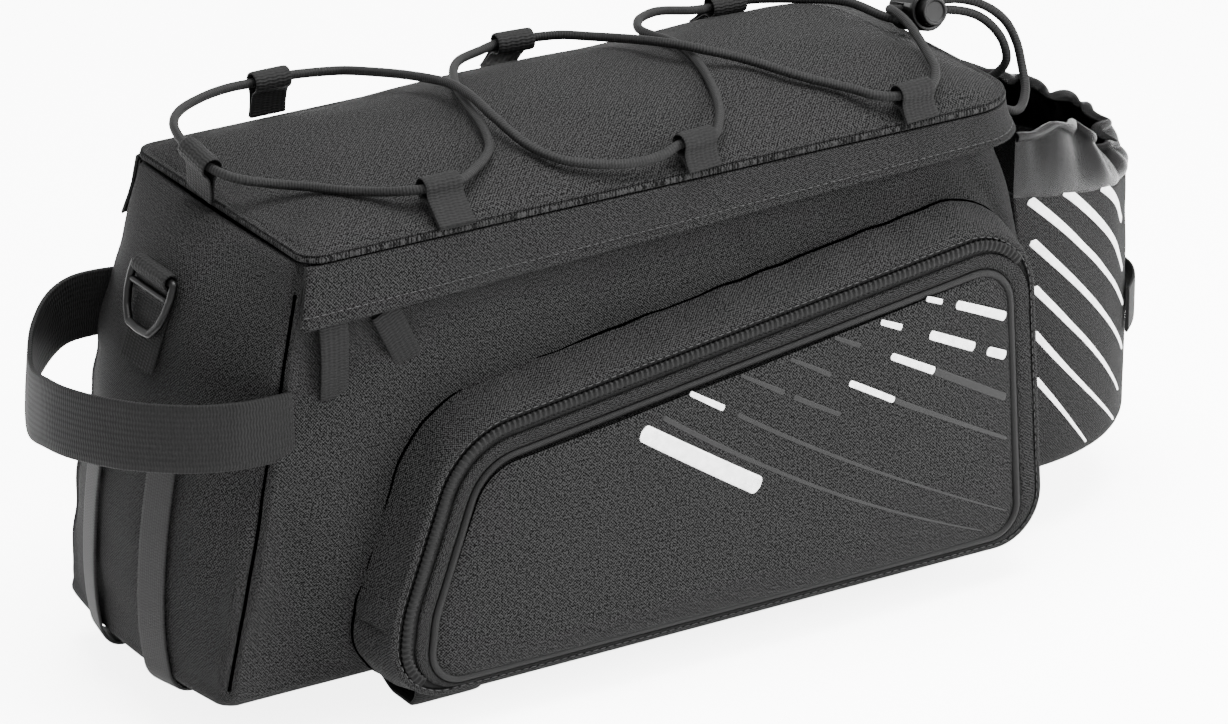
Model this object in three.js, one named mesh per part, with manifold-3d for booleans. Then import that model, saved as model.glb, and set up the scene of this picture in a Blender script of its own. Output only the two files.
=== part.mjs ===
// A trunk bag for a bicycle rack: padded body, domed lid laced with elastic cord, side pockets,
// a carrying handle and a bottle pocket. Millimetres, +Z up. The long near side faces -Y, the
// handle end -X and the bottle pocket +X. While it is modelled, z = 0 is the underside of the
// bag's bottom panel, and y = 0 its middle plane.
import * as THREE from 'three'
import { mergeVertices } from 'three/addons/utils/BufferGeometryUtils.js'
import Module from 'manifold-3d'

const wasm = await Module()
wasm.setup()

// Body
const bodyLength = 344
const bodyWidth = 126
const bodyHeight = 164.5
const leanLeft = 34
const leanRight = 15.5
const bodyWall = 3.5
const bottomRound = 5
const endSwellLeft = 18
const endSwellRight = 4
const cornerLeft = 5
const fit = 0.3

// Lid, storm flap and main zip
const lidThickness = 3
const lidCrown = 16
const lidCornerLeft = 8
const lidCornerRight = 22
const flapDepthLeft = 25
const flapDepthRight = 15
const flapThickness = 1.6
const flapFlare = 2.7
const mainZipWidth = 12
const mainZipThickness = 1
const pullWidth = 11
const pullLength = 30
const pullThickness = 1.4

// Side pockets
const pocketLength = 250
const pocketHeight = 108
const pocketCentre = 23
const pocketBase = 2.5
const pocketDepth = 18
const pocketDome = 5
const pocketWall = 2
const pipingRadius = 1.5
const stripWidth = 5
const pocketZipWidth = 8
const pocketZipThickness = 1.6

// Handle, ring tab, end strips
const handleWidth = 25
const handleThickness = 2.4
const handleReach = 56
const handleHeight = 105
const tabWidth = 24
const tabHeight = 38
const tabTop = 146
const webbing = 1.4
const ringWire = 3
const ringLength = 21
const endStripWidth = 14
const endStripTop = 84
const endStripSpacing = 46
const endStripTurn = 22

// Bottle pocket
const bottlePocketReach = 71
const bottlePocketWidth = 109
const bottlePocketBase = 9
const bottlePocketRimBack = 122
const bottlePocketRimFront = 105
const bottlePocketWall = 2
const collarWall = 1.5
const collarHeight = 22
const collarGather = 3.5
const lightStrapWidth = 18
const lightStrapHeight = 55

// Cord, its loops and its lock
const cordDiameter = 3.4
const loopWidth = 14.5
const loopHeight = 17
const endLoopWidth = 18
const lockRadius = 7.5
const lockLength = 17
const buttonRadius = 5.6

// Loops under the bag, that hold it to a rack
const rackStrapWidth = 28
const rackStrapDrop = 17
const rackStrapThickness = 2
const rackStrapLeft = -0.238
const rackStrapRight = 0.29

// How many points a ring round the bag takes along its long sides, its ends and its corners
const sideSteps = 10
const endSteps = 6
const cornerSteps = 3

// The body from its bottom (0) to its lid seam (1): half width as a share of half the body's
// width, and how much of each end's swelling shows there
const bodySections = [
  { at: 0.0, half: 0.935, left: 0.25, right: 0.3 },
  { at: 0.1, half: 0.95, left: 0.62, right: 0.6 },
  { at: 0.28, half: 0.968, left: 0.98, right: 1.0 },
  { at: 0.48, half: 0.975, left: 1.12, right: 1.0 },
  { at: 0.68, half: 0.97, left: 1.1, right: 0.8 },
  { at: 0.86, half: 0.95, left: 0.95, right: 0.1 },
  { at: 1.0, half: 0.925, left: 0.02, right: 0.0 },
]

// The lid's crown from its left edge (0) to its right edge (1), as a share of its full height
const lidSections = [
  { at: 0.0, rise: 0.2 },
  { at: 0.06, rise: 0.42 },
  { at: 0.14, rise: 0.6 },
  { at: 0.22, rise: 0.78 },
  { at: 0.36, rise: 0.95 },
  { at: 0.52, rise: 1.0 },
  { at: 0.66, rise: 0.97 },
  { at: 0.8, rise: 0.95 },
  { at: 0.92, rise: 0.8 },
  { at: 1.0, rise: 0.45 },
]

// Corners of a side pocket's front panel: length and height as shares of half the pocket's
// length and of its height, and the corner's rounding as a share of the height
const pocketCorners = [
  { x: -1.0, z: 0.0, round: 0.11 },
  { x: -0.975, z: 0.24, round: 0.3 },
  { x: -0.82, z: 0.73, round: 0.2 },
  { x: 0.945, z: 1.0, round: 0.13 },
  { x: 1.0, z: 0.0, round: 0.11 },
]

// The handle from its near root (-1) to its far root (1): how far its middle line lies above
// or below the roots, as a share of its reach
const handleSections = [
  { at: -1.0, rise: 0.0 },
  { at: -0.3, rise: -0.05 },
  { at: 0.0, rise: -0.1 },
  { at: 0.3, rise: -0.16 },
  { at: 0.55, rise: -0.03 },
  { at: 0.75, rise: 0.07 },
  { at: 1.0, rise: 0.05 },
]

// The bottle pocket's collar by angle in degrees, from the near side (-90) round its front (0) to
// the far side (90): how high its rim stands and how far it leans in, as shares of its height
const collarSections = [
  { at: -90, rise: 1.0, lean: 0.15 },
  { at: -65, rise: 1.02, lean: 0.5 },
  { at: -45, rise: 0.65, lean: 0.6 },
  { at: -25, rise: 0.42, lean: 0.3 },
  { at: 0, rise: 0.75, lean: 0.25 },
  { at: 30, rise: 0.95, lean: 0.45 },
  { at: 60, rise: 1.0, lean: 0.5 },
  { at: 90, rise: 0.95, lean: 0.15 },
]

// The elastic cord's route, one closed lacing over the lid: the loop it goes through and which way,
// or a free point, as shares of half the body's length, half its width and the lid's crown
const cordRoute = [
  // out of the lock to the third near loop
  { through: 'lockUpper', heading: -1 },
  { x: 0.841, y: 0.041, z: 1.006 }, { x: 0.824, y: -0.079, z: 1.119 },
  { x: 0.815, y: -0.222, z: 1.106 }, { x: 0.774, y: -0.625, z: 0.869 },
  { x: 0.749, y: -0.802, z: 0.756 },
  // across to the second far loop
  { through: 'near_3', heading: -1 },
  { x: 0.578, y: -0.881, z: 0.631 }, { x: 0.553, y: -0.762, z: 0.681 },
  { x: 0.469, y: -0.559, z: 0.919 }, { x: 0.381, y: -0.265, z: 1.194 },
  { x: 0.326, y: -0.156, z: 1.344 }, { x: 0.288, y: -0.016, z: 1.381 },
  { x: 0.204, y: 0.57, z: 1.019 }, { x: 0.169, y: 0.714, z: 0.944 },
  // back to the first near loop
  { through: 'far_2', heading: -1 },
  { x: -0.009, y: 0.778, z: 0.881 }, { x: -0.103, y: 0.617, z: 1 },
  { x: -0.175, y: 0.325, z: 1.094 }, { x: -0.226, y: -0.06, z: 1.094 },
  { x: -0.259, y: -0.405, z: 0.95 }, { x: -0.281, y: -0.549, z: 0.838 },
  { x: -0.369, y: -0.759, z: 0.738 },
  // to the loop at the handle end
  { through: 'near_1', heading: -1 },
  { x: -0.598, y: -0.563, z: 0.55 }, { x: -0.666, y: -0.327, z: 0.506 },
  { x: -0.709, y: -0.232, z: 0.525 }, { x: -0.794, y: -0.127, z: 0.744 },
  // to the first far loop
  { through: 'left', heading: 1 },
  { x: -0.802, y: 0.476, z: 1.131 }, { x: -0.775, y: 0.603, z: 1.15 },
  { x: -0.672, y: 0.835, z: 1.062 }, { x: -0.564, y: 0.968, z: 0.944 },
  // across to the second near loop
  { through: 'far_1', heading: 1 },
  { x: -0.372, y: 0.971, z: 0.869 }, { x: -0.319, y: 0.914, z: 0.869 },
  { x: -0.287, y: 0.773, z: 0.956 }, { x: -0.237, y: 0.338, z: 1.244 },
  { x: -0.226, y: 0.094, z: 1.369 }, { x: -0.227, y: -0.117, z: 1.356 },
  { x: -0.226, y: -0.348, z: 1.181 }, { x: -0.199, y: -0.659, z: 0.781 },
  { x: -0.167, y: -0.798, z: 0.644 }, { x: -0.12, y: -0.871, z: 0.537 },
  { x: -0.012, y: -0.957, z: 0.456 }, { x: 0.044, y: -0.962, z: 0.519 },
  // across to the third far loop
  { through: 'near_2', heading: 1 },
  { x: 0.21, y: -0.817, z: 0.769 }, { x: 0.268, y: -0.506, z: 0.963 },
  { x: 0.315, y: -0.046, z: 1.144 }, { x: 0.322, y: 0.129, z: 1.144 },
  { x: 0.308, y: 0.467, z: 1.113 }, { x: 0.326, y: 0.562, z: 1.106 },
  { x: 0.368, y: 0.676, z: 1.031 }, { x: 0.419, y: 0.751, z: 0.95 },
  { x: 0.517, y: 0.778, z: 0.744 },
  // to the lock
  { through: 'far_3', heading: 1 },
  { x: 0.751, y: 0.587, z: 0.769 }, { x: 0.811, y: 0.397, z: 0.819 },
  // out over the lid's end to the loop below it
  { through: 'lockLower', heading: 1 },
  { x: 1.058, y: 0.006, z: 0.444 }, { x: 1.094, y: -0.025, z: 0.106 },
  { x: 1.115, y: -0.048, z: -0.281 }, { x: 1.123, y: -0.048, z: -0.75 },
  { x: 1.106, y: 0.024, z: -1.181 }, { x: 1.07, y: 0.089, z: -1.369 },
  { x: 1.029, y: 0.111, z: -1.219 }, { x: 0.998, y: 0.048, z: -0.931 },
  // and back to the lock
  { through: 'right', heading: -1 },
  { x: 0.998, y: -0.362, z: -0.969 }, { x: 1.035, y: -0.397, z: -1.306 },
  { x: 1.087, y: -0.333, z: -1.494 }, { x: 1.133, y: -0.213, z: -1.269 },
  { x: 1.148, y: -0.111, z: -0.806 }, { x: 1.143, y: -0.07, z: -0.281 },
  { x: 1.12, y: -0.038, z: 0.244 }, { x: 1.072, y: 0.003, z: 0.675 },
  { x: 1.021, y: 0.06, z: 0.856 },
]

// One column of a table at a place, on a smooth curve through its rows
function readTable(rows, place, column) {
  const last = rows.length - 1
  if (place <= rows[0].at) return rows[0][column]
  if (place >= rows[last].at) return rows[last][column]
  const i = rows.findIndex((row) => row.at >= place)
  const from = rows[i - 1]
  const to = rows[i]
  const before = rows[Math.max(i - 2, 0)]
  const after = rows[Math.min(i + 1, last)]
  const span = to.at - from.at
  const t = (place - from.at) / span
  const slopeFrom = ((to[column] - before[column]) / (to.at - before.at)) * span
  const slopeTo = ((after[column] - from[column]) / (after.at - from.at)) * span
  const rise = to[column] - from[column]
  const bend = slopeFrom + slopeTo - 2 * rise
  const turn = 3 * rise - 2 * slopeFrom - slopeTo
  return from[column] + t * (slopeFrom + t * (turn + t * bend))
}

// A closed solid from points and triangles, its faces turned outwards
function solid(points, faces) {
  let volume = 0
  for (let i = 0; i < faces.length; i += 3) {
    const [a, b, c] = [points[faces[i]], points[faces[i + 1]], points[faces[i + 2]]]
    volume += a.dot(b.clone().cross(c))
  }
  const order = volume < 0 ? faces.slice().reverse() : faces
  const geometry = new THREE.BufferGeometry().setFromPoints(points)
  geometry.setIndex(order)
  geometry.computeVertexNormals()
  return geometry
}

// Rings of equally many points joined into one solid, with flat ends, or closed on itself
function skin(rings, closed = false) {
  const count = rings[0].length
  const points = rings.flat()
  const faces = []
  const steps = closed ? rings.length : rings.length - 1
  for (let r = 0; r < steps; r++) {
    const here = r * count
    const next = ((r + 1) % rings.length) * count
    for (let k = 0; k < count; k++) {
      const j = (k + 1) % count
      faces.push(here + k, here + j, next + j, here + k, next + j, next + k)
    }
  }
  if (closed) return solid(points, faces)
  const last = (rings.length - 1) * count
  const centres = [rings[0], rings[rings.length - 1]].map((ring) => {
    const centre = new THREE.Vector3()
    ring.forEach((point) => centre.addScaledVector(point, 1 / count))
    return centre
  })
  points.push(...centres)
  for (let k = 0; k < count; k++) {
    const j = (k + 1) % count
    faces.push(j, k, points.length - 2)
    faces.push(last + k, last + j, points.length - 1)
  }
  return solid(points, faces)
}

// Webbing: a flat strip along a line, its width lying along one direction
function strip(line, across, width, thickness) {
  const rings = line.map((point, i) => {
    const ahead = line[Math.min(i + 1, line.length - 1)]
    const behind = line[Math.max(i - 1, 0)]
    const along = ahead.clone().sub(behind).normalize()
    const face = along.clone().cross(across).normalize()
    const edge = face.clone().cross(along)
    return [[-1, -1], [1, -1], [1, 1], [-1, 1]].map(([u, v]) => point.clone()
      .addScaledVector(edge, (u * width) / 2)
      .addScaledVector(face, (v * thickness) / 2))
  })
  return skin(rings)
}

// A round rod along a line, closed on itself or with flat ends
function rod(line, radius, sides, closed) {
  let side = null
  const count = line.length
  const rings = line.map((point, i) => {
    const ahead = closed ? line[(i + 1) % count] : line[Math.min(i + 1, count - 1)]
    const behind = closed ? line[(i + count - 1) % count] : line[Math.max(i - 1, 0)]
    const along = ahead.clone().sub(behind).normalize()
    if (!side) side = new THREE.Vector3(-along.y, along.x, 0.2)
    side = side.clone().addScaledVector(along, -side.dot(along)).normalize()
    const up = along.clone().cross(side)
    return Array.from({ length: sides }, (_, k) => {
      const angle = (2 * Math.PI * k) / sides
      return point.clone()
        .addScaledVector(side, radius * Math.cos(angle))
        .addScaledVector(up, radius * Math.sin(angle))
    })
  })
  return skin(rings, closed)
}

// The same solid on the far side of the middle plane
function mirrored(geometry) {
  const copy = geometry.clone().scale(1, -1, 1)
  copy.setIndex(Array.from(geometry.index.array).reverse())
  copy.computeVertexNormals()
  return copy
}

// A ring round the bag at one height: straight long sides, round corners, swollen ends.
// It starts on the near side by the handle end and runs towards +X.
function planRing({ left, right, half, roundLeft, roundRight, swellLeft = 0, swellRight = 0 }, z) {
  const ring = []
  const middle = (left + right) / 2
  const put = (x, y) => {
    const share = 1 - (y / half) ** 2
    const swell = x < middle ? -swellLeft * share : swellRight * share
    ring.push(new THREE.Vector3(x + swell, y, z))
  }
  const line = (fromX, fromY, toX, toY, steps) => {
    for (let i = 0; i < steps; i++) {
      put(fromX + ((toX - fromX) * i) / steps, fromY + ((toY - fromY) * i) / steps)
    }
  }
  const corner = (x, y, round, start) => {
    for (let i = 0; i < cornerSteps; i++) {
      const angle = start + ((Math.PI / 2) * i) / cornerSteps
      put(x + round * Math.cos(angle), y + round * Math.sin(angle))
    }
  }
  line(left + roundLeft, -half, right - roundRight, -half, sideSteps)
  corner(right - roundRight, -half + roundRight, roundRight, -Math.PI / 2)
  line(right, -half + roundRight, right, half - roundRight, endSteps)
  corner(right - roundRight, half - roundRight, roundRight, 0)
  line(right - roundRight, half, left + roundLeft, half, sideSteps)
  corner(left + roundLeft, half - roundLeft, roundLeft, Math.PI / 2)
  line(left, half - roundLeft, left, -half + roundLeft, endSteps)
  corner(left + roundLeft, -half + roundLeft, roundLeft, Math.PI)
  return ring
}

// The body's outside at a height, moved in by a wall
function bodyPlan(z, inset = 0) {
  const at = Math.min(Math.max(z / bodyHeight, 0), 1)
  const below = Math.max(bottomRound - z, 0)
  const edge = bottomRound - Math.sqrt(Math.max(bottomRound ** 2 - below ** 2, 0))
  const back = inset + edge
  const cornerRight = cornerLeft + (lidCornerRight - cornerLeft) * Math.min(at / 0.85, 1) ** 6
  return {
    left: -bodyLength / 2 + leanLeft * at + back,
    right: bodyLength / 2 - leanRight * at - back,
    half: (bodyWidth / 2) * readTable(bodySections, at, 'half') - back,
    roundLeft: Math.max(cornerLeft - inset, 2),
    roundRight: Math.max(cornerRight - inset, 2),
    swellLeft: endSwellLeft * readTable(bodySections, at, 'left'),
    swellRight: endSwellRight * readTable(bodySections, at, 'right'),
  }
}

// Half the body's width at a height, and where its end faces lie
const sideFace = (z) => bodyPlan(Math.max(z, bottomRound)).half
const leftFace = (y, z) => {
  const plan = bodyPlan(z)
  return plan.left - plan.swellLeft * (1 - (y / plan.half) ** 2)
}
const rightFace = (y, z) => {
  const plan = bodyPlan(z)
  return plan.right + plan.swellRight * (1 - Math.min(Math.abs(y) / plan.half, 1) ** 2)
}

// The padded body, open at the top under the lid
const rimHeight = bodyHeight - lidThickness - 2 * fit
function bodyShell() {
  const outside = [0, 0.12, 0.45, 1].map((share) => share * bottomRound)
    .concat([0.14, 0.28, 0.44, 0.6, 0.75, 0.88].map((share) => share * rimHeight), rimHeight)
  const inside = [1, 0.8, 0.5, 0.25].map((share) => share * rimHeight).concat(bodyWall)
  return skin([
    ...outside.map((z) => planRing(bodyPlan(z), z)),
    ...inside.map((z) => planRing(bodyPlan(Math.max(z, bottomRound), bodyWall), z)),
  ])
}

// The main zip lies on the body under the flap; lid and flap keep clear of it
const zipTop = bodyHeight - lidThickness - 2 * fit - 1
const behindFlap = flapThickness + 0.5
const lidPlan = {
  left: -bodyLength / 2 + leanLeft,
  right: bodyPlan(zipTop - mainZipWidth).right + mainZipThickness + behindFlap + 2 * fit,
  half: bodyWidth / 2,
  roundLeft: lidCornerLeft,
  roundRight: lidCornerRight,
}

// The lid: a padded dome over a spine along the middle plane
function lidRing(share, drop) {
  const spineEnd = lidPlan.half * 0.9
  return planRing(lidPlan, bodyHeight).map((edge) => {
    const spineX = Math.min(Math.max(edge.x, lidPlan.left + spineEnd), lidPlan.right - spineEnd)
    const point = new THREE.Vector3(
      edge.x + (spineX - edge.x) * share,
      edge.y * (1 - share),
      bodyHeight - drop,
    )
    const along = (point.x - lidPlan.left) / (lidPlan.right - lidPlan.left)
    point.z += lidCrown * readTable(lidSections, along, 'rise') * (1 - (1 - share) ** 2.4)
    return point
  })
}
function lidPanel() {
  const shares = [0, 0.07, 0.18, 0.34, 0.56, 0.78, 0.95]
  return skin([
    ...shares.filter((share, i) => i % 2 === 0).reverse().map((share) => lidRing(share, lidThickness)),
    ...shares.map((share) => lidRing(share, 0)),
  ])
}

// A band hung round the near side, the right end and the far side, from a top to a lower edge
function sideBand(topOf, bottomOf, thickness) {
  const first = -1
  const last = 2 * sideSteps + 2 * cornerSteps + endSteps + 1
  const corners = [topOf(0), topOf(thickness), bottomOf(thickness), bottomOf(0)]
  const rings = []
  for (let i = first; i <= last; i++) {
    rings.push(corners.map((ring) => ring[(i + ring.length) % ring.length]))
  }
  return skin(rings)
}

// The band's outline at a height, moved out from the lid's edge; at the handle end it follows
// the body
function bandRing(z, out) {
  return planRing({ ...lidPlan, left: bodyPlan(z).left, roundLeft: cornerLeft,
    half: lidPlan.half + out, right: lidPlan.right + out }, z)
}

// The storm flap under the lid's edge, flared a little at its lower edge
function stormFlap() {
  const top = (inset) => bandRing(bodyHeight - lidThickness - fit, -inset)
  const bottom = (inset) => bandRing(bodyHeight - flapDepthLeft, flapFlare - inset).map((point) => {
    const along = (point.x - lidPlan.left) / (lidPlan.right - lidPlan.left)
    const depth = flapDepthLeft + (flapDepthRight - flapDepthLeft) * Math.min(Math.max(along, 0), 1)
    return point.setZ(bodyHeight - depth)
  })
  return sideBand(top, bottom, flapThickness)
}

// The main zip's tape on the body, under the flap
function mainZip() {
  const at = (z) => (inset) => bandRing(z, -behindFlap - inset)
  return sideBand(at(zipTop), at(zipTop - mainZipWidth), mainZipThickness)
}

// The zip's two sliders under the flap, and the webbing pulls that hang from them
const pullFace = lidPlan.half - behindFlap + fit
const sliderTop = bodyHeight - flapDepthLeft + 8
const sliderHeight = 6
const zipSliders = [
  { name: '1', along: -0.3706, tilt: 0 },
  { name: '2', along: -0.311, tilt: 0.42 },
]
function zipSlider({ along }) {
  const block = new THREE.BoxGeometry(pullWidth * 0.8, pullThickness, sliderHeight)
  return block.translate(along * bodyLength, -pullFace - pullThickness / 2, sliderTop - sliderHeight / 2)
}
function zipPull({ along, tilt }) {
  const top = sliderTop - sliderHeight - fit - (Math.sin(tilt) * pullWidth) / 2
  const line = [0, 0.25, 0.5, 0.75, 1].map((share) => new THREE.Vector3(
    along * bodyLength + Math.sin(tilt) * share * pullLength,
    -pullFace - pullThickness / 2 - 1.2 * Math.sin(Math.PI * share),
    top - Math.cos(tilt) * share * pullLength,
  ))
  return strip(line, new THREE.Vector3(Math.cos(tilt), 0, Math.sin(tilt)), pullWidth, pullThickness)
}

// A side pocket's outline, moved outwards at its handle side and top, its right and its bottom.
// Every outline has as many points, so that two of them join into a wall.
const cornerPoints = 4
const edgePoints = [1, 2, 8, 3, 6]
function pocketOutline(out, outRight = out, outBottom = out) {
  const corners = pocketCorners.map(({ x, z, round }) => ({
    point: new THREE.Vector2(
      pocketCentre + (x * pocketLength) / 2,
      pocketBase + z * pocketHeight,
    ),
    round: round * pocketHeight,
  }))
  const count = corners.length
  const moves = [out, out, out, outRight, outBottom]
  const sides = corners.map(({ point }, i) => {
    const along = corners[(i + 1) % count].point.clone().sub(point).normalize()
    const outward = new THREE.Vector2(-along.y, along.x)
    return { from: point.clone().addScaledVector(outward, moves[i]), along, outward }
  })
  const rounds = corners.map(({ round }, i) => {
    const before = sides[(i + count - 1) % count]
    const after = sides[i]
    const cross = before.along.x * after.along.y - before.along.y * after.along.x
    const gap = after.from.clone().sub(before.from)
    const reach = (gap.x * after.along.y - gap.y * after.along.x) / cross
    const tip = before.from.clone().addScaledVector(before.along, reach)
    const turn = Math.acos(Math.min(before.along.dot(after.along), 1))
    const radius = Math.max(round + (moves[i] + moves[(i + count - 1) % count]) / 2, 1)
    const back = radius * Math.tan(turn / 2)
    const start = tip.clone().addScaledVector(before.along, -back)
    const centre = start.clone().addScaledVector(before.outward, -radius)
    return { start, centre, turn, end: tip.clone().addScaledVector(after.along, back) }
  })
  return rounds.flatMap(({ start, centre, turn, end }, i) => {
    const arc = Array.from({ length: cornerPoints }, (_, k) => start.clone()
      .rotateAround(centre, (-turn * k) / cornerPoints))
    const next = rounds[(i + 1) % count].start
    const run = Array.from({ length: edgePoints[i] }, (_, k) => end.clone()
      .lerp(next, k / edgePoints[i]))
    return [...arc, ...run]
  })
}

// The pocket's outlines: panel, strip, zip and the gusset's front and back edges
const stripOut = pipingRadius + fit
const zipOut = stripOut + stripWidth + fit
const gussetOut = zipOut + pocketZipWidth + fit
const besideZip = 7
const underStrip = 1
function flatRing(outline, y) {
  return outline.map((point) => new THREE.Vector3(point.x, y, point.y))
}
const frontPlane = -(bodyWidth / 2 + pocketDepth)
function pocketGusset() {
  const wall = (inset) => {
    const front = pocketOutline(gussetOut + pocketWall - inset,
      stripOut + besideZip + pocketWall + fit - inset, stripOut + underStrip + pocketWall + fit - inset)
    const back = pocketOutline(gussetOut + 6 + pocketWall - inset,
      stripOut + besideZip + pocketWall + 3 - inset, stripOut + pocketWall - inset)
    const rings = [0, 0.5, 1].map((share) => front.map((point, i) => {
      const edge = back[i].clone().lerp(point, share)
      const base = -sideFace(edge.y) - fit
      const y = base + (frontPlane - base) * share
      const puff = 1.2 * Math.sin(Math.PI * share)
      return new THREE.Vector3(edge.x, y, edge.y + (edge.y > pocketHeight / 2 ? puff : 0))
    }))
    return rings
  }
  return skin([...wall(0), ...wall(pocketWall).reverse()], true)
}
function pocketZip() {
  const outer = pocketOutline(gussetOut - fit, stripOut + besideZip, stripOut + underStrip)
  const inner = pocketOutline(zipOut, stripOut + besideZip + fit, stripOut + underStrip + fit)
  const first = 3
  const last = 3 * cornerPoints + edgePoints[0] + edgePoints[1] + edgePoints[2] + 1
  const coil = 1.2
  const rings = []
  for (let i = first; i <= last; i++) {
    const across = (share, out) => {
      const point = outer[i].clone().lerp(inner[i], share)
      return new THREE.Vector3(point.x, frontPlane + pocketWall - out, point.y)
    }
    const face = pocketZipThickness
    rings.push([across(0, 0), across(0, face), across(0.22, face), across(0.3, face + coil),
      across(0.7, face + coil), across(0.78, face), across(1, face), across(1, 0)])
  }
  return skin(rings)
}
function pocketStrip() {
  const inner = pocketOutline(stripOut)
  const outer = pocketOutline(stripOut + stripWidth, stripOut + besideZip, stripOut + underStrip)
  const rings = [flatRing(outer, frontPlane), flatRing(inner, frontPlane),
    flatRing(inner, frontPlane + pocketWall), flatRing(outer, frontPlane + pocketWall)]
  return skin(rings, true)
}
function pocketPiping() {
  const sides = 5
  const rings = Array.from({ length: sides }, (_, k) => {
    const angle = (2 * Math.PI * k) / sides
    const out = pipingRadius * Math.cos(angle)
    return flatRing(pocketOutline(out), frontPlane - pipingRadius * Math.sin(angle))
  })
  return skin(rings, true)
}
function pocketPanel() {
  const edge = pocketOutline(-stripOut)
  const middle = new THREE.Vector2(pocketCentre, pocketBase + pocketHeight * 0.48)
  const ring = (share, lift) => flatRing(edge.map((point) => point.clone().lerp(middle, share)),
    frontPlane - lift - pocketDome * (1 - (1 - share) ** 2))
  const shares = [0, 0.16, 0.5]
  return skin([
    ...shares.slice().reverse().map((share) => ring(share, -pocketWall + 0.8)),
    ...shares.map((share) => ring(share, 0.8)),
  ])
}

// The bottle pocket's ring: round its front from the near side to the far side, then back along
// the body's end. The height of each point is a share of the way from the base to the rim.
const frontSteps = 20
const backSteps = 6
const bottleFront = bodyLength / 2 + bottlePocketReach
function bottleRing(heightOf, inset) {
  const half = bottlePocketWidth / 2
  const ring = []
  for (let i = 0; i <= frontSteps; i++) {
    const angle = Math.PI * (i / frontSteps - 0.5)
    const z = heightOf(Math.cos(angle), angle)
    const back = rightFace(half - inset, z) + 2 * fit + inset
    ring.push(new THREE.Vector3(
      back + (bottleFront - inset - back) * Math.cos(angle),
      (half - inset) * Math.sin(angle),
      z,
    ))
  }
  for (let i = 1; i < backSteps; i++) {
    const y = (half - inset) * (1 - (2 * i) / backSteps)
    const z = heightOf(0, null)
    ring.push(new THREE.Vector3(rightFace(y, z) + 2 * fit + inset, y, z))
  }
  return ring
}
const bottleRim = (forward) => bottlePocketRimBack
  + (bottlePocketRimFront - bottlePocketRimBack) * forward
function bottlePocket() {
  const at = (share, inset) => bottleRing((forward) => bottlePocketBase
    + (bottleRim(forward) - bottlePocketBase) * share, inset)
  const rounding = [{ up: 0, in: 5 }, { up: 0.012, in: 2 }, { up: 0.05, in: 0 }]
  const wall = bottlePocketWall
  return skin([
    ...rounding.map(({ up, in: inset }) => at(up, inset)),
    ...[0.3, 0.6, 0.8, 1].map((share) => at(share, 0)),
    ...[1, 0.5, 0.05].map((share) => at(share, wall)),
    at(0.02, wall + 3),
  ])
}

// The collar gathered over the bottle pocket
function bottleCollar() {
  const at = (share, inset) => {
    const ring = bottleRing((forward) => bottleRim(forward) + fit, inset)
    const middle = new THREE.Vector3((bottleFront + bodyLength / 2) / 2, 0, 0)
    return ring.map((point, i) => {
      const degrees = i <= frontSteps ? (180 * i) / frontSteps - 90 : 90
      const back = i > frontSteps
      const rise = back ? 0.9 : readTable(collarSections, degrees, 'rise')
      const lean = back ? 0 : readTable(collarSections, degrees, 'lean')
      const inward = middle.clone().sub(point).setZ(0).normalize()
      const gather = back || i === 0 || i === frontSteps ? 0 : collarGather * Math.sin(i * 2.2)
      const moved = point.clone().addScaledVector(inward, share * (lean * collarHeight + gather * share))
      moved.z += share * rise * collarHeight
      moved.x = Math.max(moved.x, rightFace(moved.y, moved.z) + 2 * fit + inset)
      return moved
    })
  }
  const shares = [0, 0.4, 0.75, 1]
  return skin([...shares.map((share) => at(share, 0)),
    ...shares.slice().reverse().map((share) => at(share, collarWall))], true)
}

// The strap for a light, across the bottle pocket's front
function lightStrap() {
  const spread = Math.PI / 5
  const line = Array.from({ length: 9 }, (_, i) => {
    const angle = spread * (i / 4 - 1)
    const lift = fit + webbing / 2 + 2.4 * Math.sin((Math.PI * i) / 8)
    const back = bodyPlan(lightStrapHeight).right + fit
    return new THREE.Vector3(
      back + (bottleFront - back + lift) * Math.cos(angle),
      (bottlePocketWidth / 2 + lift) * Math.sin(angle),
      lightStrapHeight,
    )
  })
  return strip(line, new THREE.Vector3(0, 0, 1), lightStrapWidth, webbing)
}

// The handle: webbing bowed out from both corners of the left end
function handleStrap() {
  const root = leftFace(bodyWidth / 2, handleHeight) + cornerLeft
  const half = sideFace(handleHeight) + fit + handleThickness / 2
  const steps = 26
  const line = Array.from({ length: steps + 1 }, (_, i) => {
    const at = (2 * i) / steps - 1
    const angle = (at * Math.PI) / 2
    const rise = handleReach * readTable(handleSections, at, 'rise')
    return new THREE.Vector3(
      root - cornerLeft * Math.min(1, Math.cos(angle) * 4) - handleReach * Math.cos(angle),
      half * Math.sin(angle),
      handleHeight + rise,
    )
  })
  return strip(line, new THREE.Vector3(0, 0, 1), handleWidth, handleThickness)
}

// The two flat strips down the left end, turned under the bottom
function endStrip(y) {
  const bow = (2 * endSwellLeft * y) / (bodyWidth / 2) ** 2
  const across = new THREE.Vector3(bow, 1, 0).normalize()
  const lift = 2 * fit + webbing / 2 + endSwellLeft * (endStripWidth / bodyWidth) ** 2
  const heights = [1, 0.8, 0.6, 0.4, 0.2, 0.1].map((share) => share * endStripTop)
  const down = heights.map((z) => new THREE.Vector3(leftFace(y, z) - lift, y, z))
  const corner = leftFace(y, bottomRound)
  const line = [
    ...down,
    new THREE.Vector3(corner - lift + 0.8, y, bottomRound * 0.5),
    new THREE.Vector3(corner + bottomRound * 0.5, y, -lift),
    new THREE.Vector3(corner + endStripTurn, y, -lift),
  ]
  return strip(line, across, endStripWidth, webbing)
}

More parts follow.
